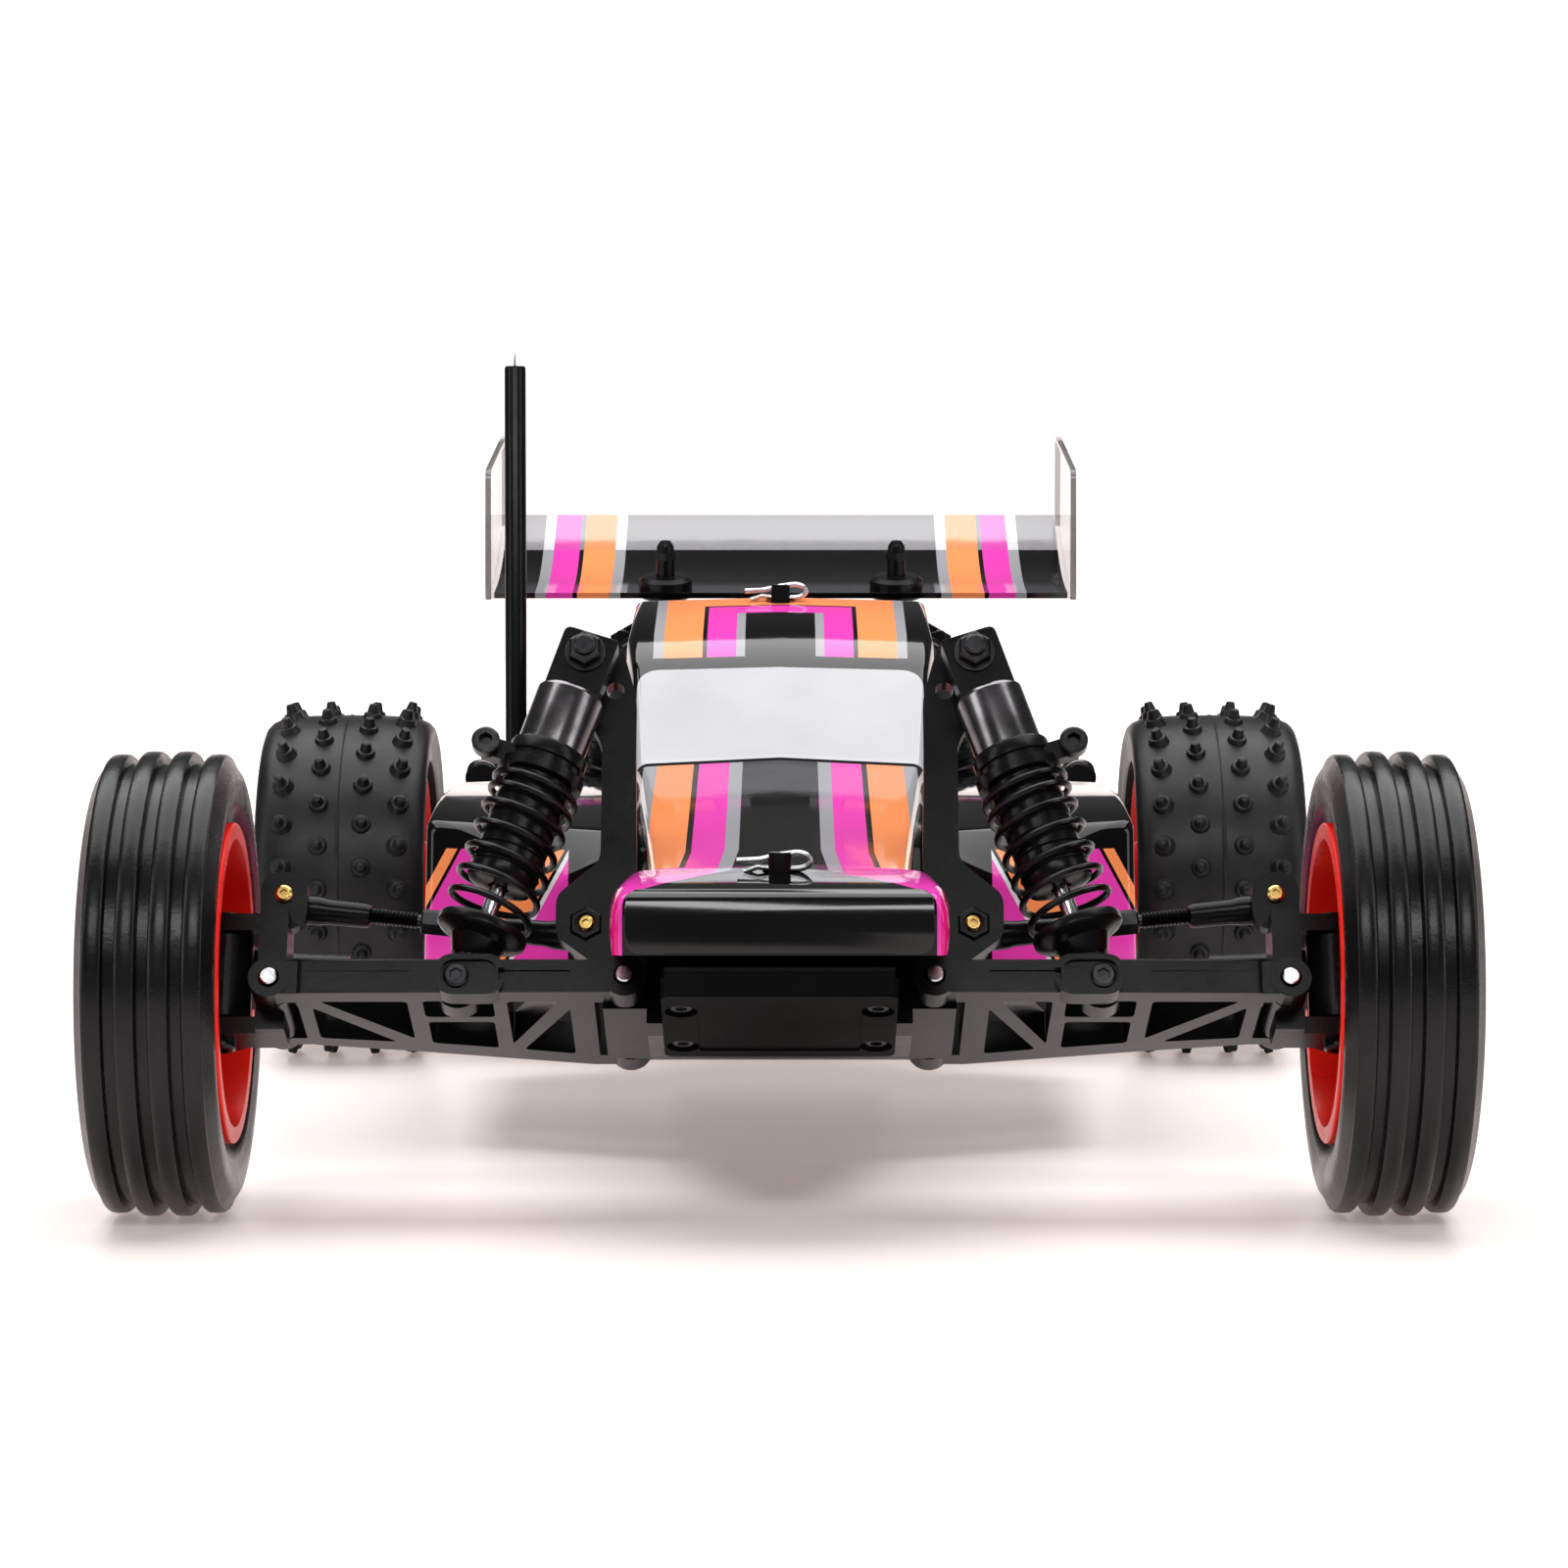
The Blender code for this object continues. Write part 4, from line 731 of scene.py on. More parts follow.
def spiked_tyre(side, label):
    """A round carcass with four staggered columns of two-stage spikes and a mould seam."""
    body = f"rear_wheel_{label}"
    centre = Vector((0.0, REAR_AXLE.y, REAR_AXLE.z))
    inner, outer = REAR_INNER_X, WHEEL_OUTER_X
    middle = (inner + outer) / 2.0
    half = [(inner + 3.8, 18.1), (inner + 0.9, 18.2), (inner + 0.6, 18.7), (inner + 0.6, 20.8),
            (inner + 0.25, 21.9), (inner + 0.05, 22.7), (inner + 0.3, 23.5), (inner + 1.0, 24.2),
            (inner + 2.2, 24.75), (inner + 4.2, 25.12), (inner + 7.0, 25.3), (middle - 0.5, 25.42),
            (middle - 0.18, 25.44), (middle, 25.56)]
    other = [(inner + outer - x, radius) for x, radius in half[:-1]]
    carcass = turned(half + other[::-1], centre, (1, 0, 0), 96, closed=True)
    columns = (58.0, 63.5, 70.0, 75.6)
    spikes = []
    count = 24
    for number, x in enumerate(columns):
        for k in range(count):
            angle = 2.0 * math.pi * (k + 0.5 * (number % 2)) / count
            out = Vector((0.0, math.cos(angle), math.sin(angle)))
            lean = Vector((0.03 * (x - middle), 0.0, 0.0))
            foot = centre + Vector((x, 0.0, 0.0)) + out * 24.9
            profile = [(0.0, 1.75), (0.35, 1.55), (0.9, 1.42), (1.15, 1.30), (1.25, 0.95),
                       (2.25, 0.72), (2.55, 0.62), (2.62, 0.45)]
            spikes.append(turned(profile, foot, out + lean, 12))
    piece(f"spiked_tyre_{label}", "rear_rubber", body, [carcass, gathered(spikes)], side=side,
          bevel=0.0, nodes=[f"rear_tyre_{label}"])


def rear_wheel(side, label):
    spiked_tyre(side, label)
    body = f"rear_wheel_{label}"
    centre = (0.0, REAR_AXLE.y, REAR_AXLE.z)
    inner, outer = REAR_INNER_X, WHEEL_OUTER_X
    section = [(inner + 3.6, 17.0), (inner + 3.6, 17.9), (outer - 1.9, 17.9), (outer - 1.7, 18.6),
               (outer - 1.5, 19.0), (outer - 0.7, 19.0), (outer - 0.5, 18.8), (outer - 0.5, 17.4),
               (outer - 2.0, 17.0), (60.4, 16.8), (59.2, 15.6), (58.8, 9.0), (58.6, 5.4),
               (60.3, 4.6), (60.6, 4.2), (60.6, 1.85), (54.8, 1.85), (54.8, 5.0), (56.4, 6.2),
               (57.2, 9.0), (57.3, 15.6), (55.8, 16.9)]
    rim = turned(section, centre, (1, 0, 0), 96, closed=True)
    ribs = spokes((58.4, 5.2, -0.9), (60.2, 16.6, 0.9), 8, centre)
    piece(f"rear_rim_detail_{label}", "red", body, [rim] + ribs, side=side, bevel=0.12,
          nodes=[f"rear_rim_{label}"])
    profile = [(38.6, 3.2), (38.8, 3.4), (44.4, 3.4), (44.8, 1.6), (50.6, 1.6), (50.7, 3.6),
               (54.4, 3.6), (54.5, 1.6), (65.6, 1.6), (66.0, 1.3)]
    shaft = turned(profile, centre, (1, 0, 0), 32)
    pocket = rod((37, *centre[1:]), (43.2, *centre[1:]), 2.5)
    slit = box((37, centre[1] - 5, centre[2] - 0.75), (42.4, centre[1] + 5, centre[2] + 0.75))
    piece(f"rear_axle_detail_{label}", "steel", body, [shaft], [pocket, slit], side=side,
          bevel=0.1, nodes=[f"rear_axle_{label}"])
    wheel_nut(f"rear_wheel_nut_{label}", body, centre, 60.8, side)


# ---- dampers ---------------------------------------------------------------------------------
def helix(start, axis, span, turns, radius, wire, steps=28, sides=10):
    """A spring wire whose end turns lie close and whose lower turns are more open."""
    spin = Vector(axis).to_track_quat('Z', 'Y')
    total = int(turns * steps)
    corners = []
    for i in range(total + 1):
        share = i / total
        turn = share * turns
        rise = share ** 1.25
        closing = 0.05 * math.sin(math.pi * 2.0 * share)
        angle = 2.0 * math.pi * turn
        outward = Vector((math.cos(angle), math.sin(angle), 0.0))
        centre = outward * radius + Vector((0.0, 0.0, span * (rise - closing * 0.4)))
        for k in range(sides):
            around = 2.0 * math.pi * k / sides
            offset = outward * math.cos(around) + Vector((0.0, 0.0, math.sin(around)))
            corners.append(Vector(start) + spin @ (centre + offset * wire / 2.0))
    faces = [[i * sides + k, i * sides + (k + 1) % sides,
              (i + 1) * sides + (k + 1) % sides, (i + 1) * sides + k]
             for i in range(total) for k in range(sides)]
    faces.append(list(range(sides)))
    faces.append(list(range(total * sides, (total + 1) * sides)))
    return corners, faces


def damper(side, label, end, matrix, top, eye):
    body, shaft = f"{end}_shock_body_{label}", f"{end}_shock_shaft_{label}"
    top, eye = Vector(top), Vector(eye)
    along = (eye - top).normalized()
    length = (eye - top).length
    outward = Vector((-along.z, 0.0, along.x))
    s = top.y

    def at(distance, out=0.0):
        return top + along * distance + outward * out

    def plate(points):
        return [(corner.x, corner.z) for corner in points]

    bolt = at(0.9)
    tab_outline = rounded_outline(plate([at(-1.9, -3.2), at(-1.9, 3.4), at(7.4, 3.4),
                                         at(7.4, -3.4), at(-1.4, -3.4)]), 0.9)
    tab = slab(tab_outline, "xt", s - 1.5, s + 1.5)
    boss = rod((bolt.x, s, bolt.z), (bolt.x, s + 3.4, bolt.z), 2.6)
    piece(f"{end}_shock_tab_{label}", "nylon", body, [tab, boss], matrix=matrix, side=side,
          bevel=0.25)
    can = turned([(5.9, 3.3), (6.1, 3.9), (6.4, 4.12), (6.6, 4.15), (13.6, 4.15), (13.9, 3.9)],
                 top, along, 64)
    piece(f"{end}_shock_cap_{label}", "gunmetal", body, [can], matrix=matrix, side=side,
          bevel=0.0, nodes=[f"{end}_shock_body_{label}"])
    collar = turned([(13.7, 4.1), (13.8, 4.6), (14.1, 4.75), (15.4, 4.75), (15.6, 4.4),
                     (16.4, 4.4), (16.6, 5.2), (17.8, 5.2), (18.0, 4.1)], top, along, 64)
    lug = slab(plate([at(15.1, 3.4), at(15.1, 7.4), at(17.5, 7.4), at(17.5, 3.4)]), "xt",
               s - 2.7, s - 0.5)
    barrel = turned([(16.5, 4.12), (16.8, 4.12), (31.4, 4.12), (31.9, 3.8), (32.1, 3.0)],
                    top, along, 64)
    threads = [turned([(a, 4.0), (a + 0.25, 4.3), (a + 0.5, 4.0)], top, along, 64)
               for a in (18.6 + 2.2 * k for k in range(6))]
    bore = rod(at(19.0), at(33.5), 1.3)
    piece(f"{end}_shock_barrel_{label}", "nylon", body, [collar, lug, barrel] + threads, [bore],
          matrix=matrix, side=side, bevel=0.1)
    clamp = at(16.3, 7.0)
    screw_head(f"{end}_shock_clamp_screw_{label}", body, matrix, side, (clamp.x, s - 2.6, clamp.z),
               1.7, 1.9)
    nut_place = (bolt.x, s - 1.4, bolt.z)
    nut = [turned([(0.0, 2.5), (0.5, 2.5)], nut_place, (0, -1, 0), 24),
           turned([(0.4, 2.15), (1.9, 2.15), (2.2, 1.8)], nut_place, (0, -1, 0), 6),
           turned([(2.0, 1.3), (2.9, 1.3), (3.1, 1.0)], nut_place, (0, -1, 0), 20)]
    piece(f"{end}_shock_nut_{label}", "screw", body, nut, matrix=matrix, side=side, bevel=0.08)

    stem = rod(at(26.0), at(38.2), 1.0)
    piece(f"{end}_shock_rod_{label}", "steel", shaft, [stem], matrix=matrix, side=side,
          bevel=0.05, nodes=[f"{end}_shock_shaft_{label}"])
    cup = turned([(37.1, 4.4), (37.2, 5.3), (37.5, 5.45), (38.3, 5.45), (38.7, 5.0), (39.3, 3.4),
                  (41.5, 2.5)], top, along, 48)
    link = turned([(40.6, 2.3), (length - 2.4, 2.1), (length - 1.6, 1.9)], top, along, 24)
    ring = disc(eye.x, eye.z, 2.75, s - 1.9, s + 1.9)
    piece(f"{end}_shock_end_{label}", "nylon", shaft, [cup, link, ring], matrix=matrix,
          side=side, bevel=0.15)
    first, last = 18.2, 36.9
    spring = helix(at(first + 0.5), along, last - first - 1.0, 7.0, 5.1, 0.86)
    coil = piece(f"{end}_coil_{label}", "spring", body, [spring], matrix=matrix, side=side,
                 bevel=0.0, nodes=[f"{end}_spring_{label}"])
    to_car = MIRROR @ matrix if side < 0 else matrix
    coil.parent = None
    tuple(to_car @ at(first + 0.5) * MM)
    tuple(to_car @ at(last - 0.4) * MM)
    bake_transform(coil)


def screw_head(name, body, matrix, side, place, radius, height, direction=(0, -1, 0)):
    """A socket-cap screw head with its hexagonal socket."""
    head = turned([(0.0, radius), (height - 0.25, radius), (height, radius - 0.3)], place,
                  direction, 32)
    socket = turned([(height * 0.4, radius * 0.5), (height + 0.5, radius * 0.5)], place,
                    direction, 6)
    return piece(name, "screw", body, [head], [socket], matrix=matrix, side=side, bevel=0.06)


# ---- front suspension ------------------------------------------------------------------------
def front_corner(side, label):
    arm = f"front_arm_{label}"
    carrier = f"caster_block_{label}"
    knuckle = f"steering_knuckle_{label}"
    outer = in_frame(FRONT, "caster_block_left_pivot")
    king = in_frame(FRONT, "steering_knuckle_left_turn")
    inner_ball = in_frame(FRONT, "front_camber_link_left_pivot")
    shock_top = in_frame(FRONT, "front_shock_body_left_pivot")
    shock_eye = Vector((37.5, shock_top.y, 0.0))
    outer_ball = Vector((59.0, inner_ball.y, 13.8))

    deck = slab(rounded_outline([(21.6, -13.2), (56.2, -12.8), (56.2, 5.6), (44, 8.0),
                                 (21.6, 13.2)], 0.8), "xs", -2.0, 2.0)
    shapes = [deck]
    shapes += rods_along_s(FRONT_HINGE_X, ((-13.6, -9.5), (9.5, 13.6)), HINGE_BOSS_RADIUS)
    shapes.append(box((18, -13.2, -2), (22.4, -9.6, 2)))
    shapes.append(box((18, 9.6, -2), (22.4, 13.0, 2)))
    shapes += rods_along_s(outer.x, ((-12.8, -9.4), (3.2, 6.4)), OUTER_BOSS_RADIUS)
    shapes.append(box((55.8, -12.6, -2), (59.3, -9.5, 2)))
    shapes.append(box((55.8, 3.3, -2), (59.3, 5.6, 2)))
    oval = rounded_outline([(31.9, -2.5), (39.9, -2.5), (39.9, 2.5), (31.9, 2.5)], 2.4, 8)
    shapes.append(slab(oval, "xt", -13.9, -10.4))
    windows = [
        [(24.5, -7.2), (24.5, 9.0), (30.6, 7.4)], [(25.8, -9.8), (31.8, -9.8), (31.8, 5.4)],
        [(33.4, -10.0), (41.6, -10.0), (41.6, -4.4), (33.4, -4.4)],
        [(33.6, -2.6), (41.4, -2.6), (41.4, 5.0), (33.6, 6.8)],
        [(43.4, -9.8), (53.6, -9.8), (43.4, 3.4)], [(54.6, -7.6), (54.6, 3.2), (45.6, 4.6)]]
    cuts = [slab(rounded_outline(points, 0.7, 3), "xs", -4, 4) for points in windows]
    cuts += rods_along_s(FRONT_HINGE_X, [(-15, 15)], PIN_BORE_RADIUS)
    cuts += rods_along_s(outer.x, [(-14, 8)], PIN_BORE_RADIUS)
    for low, high in ((24.4, 32.6), (43.0, 54.8)):
        cuts.append(box((low, -14.0, -0.75), (high, -12.75, 0.75)))
    slot_outline = [(32.8, -1.8), (39.2, -1.8), (39.2, 1.8), (32.8, 1.8)]
    cuts.append(slab(rounded_outline(slot_outline, 1.7, 6), "xt", -15, -13.3))
    piece(f"front_arm_detail_{label}", "nylon", arm, shapes, cuts, FRONT, side, 0.28,
          nodes=[arm])
    screw_head(f"front_shock_screw_{label}", arm, FRONT, side, (shock_eye.x, -13.2, 0.0), 1.5, 0.7)
    build_pin(f"front_hinge_pin_{label}", ROOT, FRONT, side, FRONT_HINGE_X, -14.15, 14.0)
    build_pin(f"front_outer_pin_{label}", carrier, FRONT, side, outer.x, -13.4, 7.0)

    low_t, high_t = king.z - 7.46, king.z + 7.54
    shapes = [*rods_along_s(outer.x, [(-9.0, 2.8)], OUTER_BOSS_RADIUS),
              box((58.0, -6.4, low_t), (61.4, 0.4, high_t))]
    for low, high in ((high_t - 2.1, high_t), (low_t, low_t + 2.1)):
        shapes.append(box((60.8, -4.9, low), (king.x, 0.4, high)))
        shapes.append(rod((king.x, king.y, low), (king.x, king.y, high), 3.3))
    tab_top = outer_ball.z + 2.9
    tab = rounded_outline([(56.2, 9.4), (61.8, 9.4), (61.8, tab_top), (56.2, tab_top)], 2.6, 8)
    shapes.append(slab(tab, "xt", inner_ball.y - 4.4, inner_ball.y - 2.6))
    shapes.append(rod((king.x, king.y, low_t - 0.5), (king.x, king.y, high_t + 0.5), 0.9))
    window = box((59.6, -5.4, 2.9), (60.9, 3.0, high_t - 3.4))
    piece(f"caster_detail_{label}", "nylon", carrier, shapes, [window], FRONT, side, 0.22,
          nodes=[carrier])
    for name, t, direction in (("upper", high_t - 0.1, 1), ("lower", low_t + 0.1, -1)):
        screw_head(f"kingpin_{name}_{label}", carrier, FRONT, side, (king.x, king.y, t), 1.6, 1.1,
                   (0, 0, direction))
    brass_stud(f"front_outer_stud_{label}", carrier, FRONT, side,
               (outer_ball.x, outer_ball.y - 4.2, outer_ball.z))
    brass_stud(f"front_inner_stud_{label}", ROOT, FRONT, side,
               (inner_ball.x, inner_ball.y - 4.6, inner_ball.z), ring=True)

    axle_t = king.z
    shapes = [rod((king.x, king.y, axle_t - 5.0), (king.x, king.y, axle_t + 5.1), 3.2),
              rod((king.x, king.y, axle_t), (70.4, king.y, axle_t), 3.5)]
    tail = [(64.0, king.y), (67.4, king.y), (65.9, 8.5), (62.1, 8.5)]
    tail_low, tail_high = 4.1, 5.7
    shapes.append(slab(tail, "xs", tail_low, tail_high))
    shapes.append(rod((64.0, 8.5, tail_low), (64.0, 8.5, tail_high), 2.1))
    cuts = [rod((king.x, king.y, -3), (king.x, king.y, 10), PIN_BORE_RADIUS)]
    piece(f"knuckle_detail_{label}", "nylon", knuckle, shapes, cuts, FRONT, side, 0.2,
          nodes=[knuckle])
    stub = turned([(0.0, 1.5), (9.0, 1.5), (9.4, 1.2)], (70.0, king.y, axle_t), (1, 0, 0), 24)
    piece(f"stub_axle_{label}", "steel", knuckle, [stub], matrix=FRONT, side=side, bevel=0.0)
    camber_link(side, label, "front", FRONT, inner_ball, outer_ball)
    tie_rod(side, label)
    damper(side, label, "front", FRONT, shock_top, shock_eye)
    front_wheel(side, label)


def build_pin(name, body, matrix, side, x, low, high):
    """A polished hinge pin, whose ends show in the arm's bosses."""
    profile = [(0.0, 0.85), (0.15, 1.0), (high - low - 0.15, 1.0), (high - low, 0.85)]
    piece(name, "steel", body, [turned(profile, (x, low, 0.0), (0, 1, 0), 24)], matrix=matrix,
          side=side, bevel=0.0)


def brass_stud(name, body, matrix, side, place, ring=False):
    """The polished end of a ball stud, with a nut behind it where it is clamped."""
    stud = turned([(-0.3, 1.05), (0.7, 1.05), (0.95, 0.75)], place, (0, -1, 0), 28)
    socket = turned([(0.6, 0.45), (1.6, 0.45)], place, (0, -1, 0), 6)
    piece(name, "brass", body, [stud], [socket], matrix=matrix, side=side, bevel=0.05)
    if ring:
        nut = turned([(-0.4, 2.15), (0.55, 2.15), (0.8, 1.9)], place, (0, -1, 0), 6)
        hole = turned([(-1.0, 1.2), (1.5, 1.2)], place, (0, -1, 0), 24)
        piece(name + "_nut", "nylon", body, [nut], [hole], matrix=matrix, side=side, bevel=0.1)


def camber_link(side, label, end, matrix, inner, outer):
    """Two moulded ball cups joined by a turnbuckle with a hexagonal middle."""
    node = f"{end}_camber_link_{label}"
    inner, outer = Vector(inner), Vector(outer)
    across = (outer - inner).normalized()
    span = (outer - inner).length
    shapes = []
    for centre, way in ((inner, across), (outer, -across)):
        shapes.append(turned([(-1.9, 2.1), (-1.5, 2.6), (1.5, 2.6), (1.9, 2.1)], centre,
                             (0, 1, 0), 32))
        shapes.append(turned([(1.0, 1.8), (4.0, 1.75), (5.0, 1.55), (9.5, 1.5), (10.0, 1.35)],
                             centre, way, 20))
    piece(f"{end}_link_cups_{label}", "nylon", node, shapes, (), matrix, side, 0.15,
          nodes=[node])
    threads = [(9.0, 0.85)]
    steps = int((span - 18.0) / 0.45)
    for k in range(steps):
        start = 9.2 + k * 0.45
        if abs(start - span / 2.0) > 2.0:
            threads += [(start, 0.8), (start + 0.22, 1.0)]
    threads.append((span - 9.0, 0.85))
    piece(f"{end}_link_thread_{label}", "screw", node, [turned(threads, inner, across, 14)],
          matrix=matrix, side=side, bevel=0.0)
    hexagon = turned([(span / 2 - 1.9, 1.3), (span / 2 - 1.7, 1.6), (span / 2 + 1.7, 1.6),
                      (span / 2 + 1.9, 1.3)], inner, across, 6)
    piece(f"{end}_link_hex_{label}", "screw", node, [hexagon], matrix=matrix, side=side,
          bevel=0.08)


def tie_rod(side, label):
    node, stud_node = f"tie_rod_{label}", f"tie_rod_ball_{label}"
    outer = Vector((64.0, 8.5, 8.8))
    inner = in_frame(FRONT, "tie_rod_left_tilt")
    socket = turned([(-1.8, 2.7), (-1.5, 3.0), (1.5, 3.0), (1.8, 2.7), (1.8, 2.25), (-1.8, 2.25)],
                    inner, (0, 1, 0), 32, closed=True)
    start = inner + Vector((2.6, 0, 0))
    cup = turned([(-1.5, 2.1), (-1.1, 2.5), (1.4, 2.5), (1.8, 2.1)], outer, (0, 0, 1), 32)
    ends = [socket, rod(start, inner + Vector((13, 0, 0)), 1.7, 1.45),
            rod(outer - Vector((12, 0, 0)), outer - Vector((1, 0, 0)), 1.45, 1.8), cup]
    middle = rod(inner + Vector((12, 0, 0)), outer - Vector((11, 0, 0)), 1.0)
    piece(f"tie_rod_detail_{label}", "nylon", node, ends + [middle], (), FRONT, side, 0.12,
          nodes=[node])
    centre = pivot("tie_rod_ball_left_turn")
    stud = [ball(centre, 1.9, (0, 1, 0)), rod(centre, centre + Vector((0, 2.7, 0)), 0.9)]
    piece(f"tie_rod_stud_{label}", "brass", stud_node, stud, side=side, bevel=0.0,
          nodes=[stud_node])


# ---- rear suspension -------------------------------------------------------------------------
def rear_corner(side, label):
    arm, hub = f"rear_arm_{label}", f"rear_hub_{label}"
    outer = in_frame(REAR, "rear_hub_left_pivot")
    inner_ball = in_frame(REAR, "rear_camber_link_left_pivot")
    outer_ball = Vector((46.0, inner_ball.y, inner_ball.z - 0.4))
    shock_top = in_frame(REAR, "rear_shock_body_left_pivot")
    shock_eye = Vector((34.0, shock_top.y, 2.0))
    axle_t = REAR_AXLE.z - pivot("rear_arm_left_swing").z

    deck = slab(rounded_outline([(17.6, -17.0), (38.0, -17.0), (41.2, -12.6), (41.2, 12.6),
                                 (30, 13.2), (17.6, 13.2)], 0.8), "xs", -1.8, 1.8)
    shapes = [deck, *rods_along_s(REAR_HINGE_X, [(-13.2, 13.2)], HINGE_BOSS_RADIUS),
              box((14.4, -13.0, -1.8), (18.0, 13.0, 1.8)),
              disc(shock_eye.x, 2.0, 2.9, -17.1, -14.6)]
    for low, high in ((-12.6, -9.2), (9.2, 12.6)):
        shapes += rods_along_s(outer.x, [(low, high)], OUTER_BOSS_RADIUS)
        shapes.append(box((40.8, low + 0.1, -1.8), (outer.x, high - 0.1, 1.8)))
    windows = [[(19.6, -11.5), (29.6, -11.5), (19.6, 3.5)],
               [(31.0, -9.6), (31.0, 8.0), (20.6, 7.6)],
               [(33.0, -11.5), (39.0, -11.5), (39.0, 1.5)],
               [(33.0, -8.0), (38.0, 7.6), (33.0, 7.6)]]
    cuts = [slab(rounded_outline(points, 0.8, 3), "xs", -4, 4) for points in windows]
    cuts += rods_along_s(REAR_HINGE_X, [(-15, 15)], PIN_BORE_RADIUS)
    cuts += rods_along_s(outer.x, [(-14, 14)], PIN_BORE_RADIUS)
    piece(f"rear_arm_detail_{label}", "nylon", arm, shapes, cuts, REAR, side, 0.28, nodes=[arm])
    build_pin(f"rear_hinge_pin_{label}", ROOT, REAR, side, REAR_HINGE_X, -17.3, 17.3)
    build_pin(f"rear_outer_pin_{label}", hub, REAR, side, outer.x, -13.2, 13.2)

    ear = rounded_outline([(43.8, axle_t), (48.4, axle_t), (48.7, 28.2), (43.3, 28.2)], 2.2, 6)
    shapes = [turned([(43.4, 5.8), (43.8, 6.2), (49.8, 6.2), (50.2, 5.8)], (0, 0, axle_t),
                     (1, 0, 0), 40),
              *rods_along_s(outer.x, [(-8.8, 8.8)], OUTER_BOSS_RADIUS),
              box((42.8, -4.2, -1.0), (46.6, 4.2, axle_t)), slab(ear, "xt", -6.6, -4.4)]
    cuts = [rod((40, 0, axle_t), (52, 0, axle_t), 1.9),
            rod((40, 0, axle_t), (45.4, 0, axle_t), 3.9)]
    piece(f"rear_hub_detail_{label}", "nylon", hub, shapes, cuts, REAR, side, 0.25, nodes=[hub])
    bearing = turned([(49.9, 2.2), (49.9, 4.4), (50.3, 4.4), (50.3, 2.2)], (0, 0, axle_t),
                     (1, 0, 0), 32, closed=True)
    piece(f"rear_bearing_{label}", "steel", hub, [bearing], matrix=REAR, side=side, bevel=0.05)

    shaft = f"drive_shaft_{label}"
    centre = pivot("drive_shaft_left_swing")
    far = Vector((41.0, centre.y, centre.z))
    bone = [turned([(1.0, 1.0), (4.0, 1.25), (22.0, 1.25), (25.5, 1.0)], centre, (1, 0, 0), 24),
            ball(centre, 1.85), ball(far, 1.85)]
    for place in (centre, far):
        bone.append(rod(place - Vector((0, 2.3, 0)), place + Vector((0, 2.3, 0)), 0.5, sides=12))
    piece(f"drive_bone_{label}", "steel", shaft, bone, side=side, bevel=0.0, nodes=[shaft])
    camber_link(side, label, "rear", REAR, inner_ball, outer_ball)
    damper(side, label, "rear", REAR, shock_top, shock_eye)
    rear_wheel(side, label)


# ---- structure -------------------------------------------------------------------------------
def build_bumper():
    """A raked skid plate with a dished face, four screws and a rolled lip across its front."""
    plate = slab(rounded_outline([(-13.4, -26.6), (13.4, -26.6), (13.4, -5.6), (-13.4, -5.6)], 1.2),
                 "xs", -7.3, -4.8)
    lip = slab(rounded_outline([(-28.6, -5.0), (-26.8, -7.2), (-25.0, -7.2), (-25.0, -4.9),
                                (-27.0, -4.2), (-28.2, -4.3)], 0.6, 5), "st", -13.0, 13.0)
    places = [(x, s) for x in (-11.2, 11.2) for s in (-21.4, -9.2)]
    recesses = [rod((x, s, -8), (x, s, -6.5), 1.9) for x, s in places]
    dish = slab(rounded_outline([(-9.4, -24.6), (9.4, -24.6), (9.4, -7.6), (-9.4, -7.6)], 0.8),
                "xs", -8.0, -7.1)
    # The bumper uses the darkened copy of the black nylon, with weak reflections, as painted shade.
    piece("bumper_detail", "shade_painted_nylon", ROOT, [plate, lip], recesses + [dish], FRONT, 1, 0.3,
          nodes=["front_bumper"])
    for number, (x, s) in enumerate(places):
        screw_head(f"bumper_screw_{number}", ROOT, FRONT, 1, (x, s, -6.45), 1.5, 0.5, (0, 0, -1))


def build_tower():
    """The front shock tower: two tall legs, drilled near their tips, joined low down."""
    half = [(14.0, 4.5), (14.0, 9.0), (16.9, 9.6), (17.3, 30), (17.3, 39), (19.0, 45.4),
            (22.6, 47.2), (25.6, 45.8), (26.6, 42.6), (21.4, 33.0), (21.4, 18.0), (26.6, 13.6),
            (26.6, 8.4), (23.4, 6.0), (21.6, 4.5)]
    shapes = [slab(rounded_outline([(sign * x, t) for x, t in half], 1.2), "xt", -3.7, -1.4)
              for sign in (1, -1)]
    shapes.append(box((-14.4, -3.6, 4.6), (14.4, -1.5, 8.9)))
    holes = [disc(sign * 19.9, 40.0, 1.1, -6, 1) for sign in (1, -1)]
    piece("tower_detail", "nylon", ROOT, shapes, holes, FRONT, 1, 0.25,
          nodes=["front_shock_tower"])


def dress_cad_nodes():
    """The CAD nodes that stay get their material and softened edges."""
    looks = {"chassis": ("nylon", 0.5), "front_bulkhead": ("nylon", 0.25),
             "gearbox_case": ("nylon", 0.3), "rear_shock_tower": ("nylon", 0.25),
             "battery_pack": ("wrap", 0.8), "battery_strap": ("nylon", 0.3),
             "speed_controller": ("case", 0.3), "steering_servo": ("case", 0.3),
             "servo_horn": ("nylon", 0.2), "spur_gear": ("white", 0.0),
             "pinion_gear": ("brass", 0.0), "differential_gear": ("nylon", 0.0)}
    for node, (finish, bevel) in looks.items():
        obj = frame["nodes"][node]
        obj.data.materials.clear()
        obj.data.materials.append(MATERIALS[finish])
        if bevel:
            bevel_edges(obj, bevel, 2, BEVELLED_SMOOTH_DEGREES)


def antenna_foot():
    """The middle of the antenna tube's lower end."""
    low, high = low_corner("antenna_tube"), high_corner("antenna_tube")
    return (low.x + high.x) / 2.0, (low.y + high.y) / 2.0, low.z


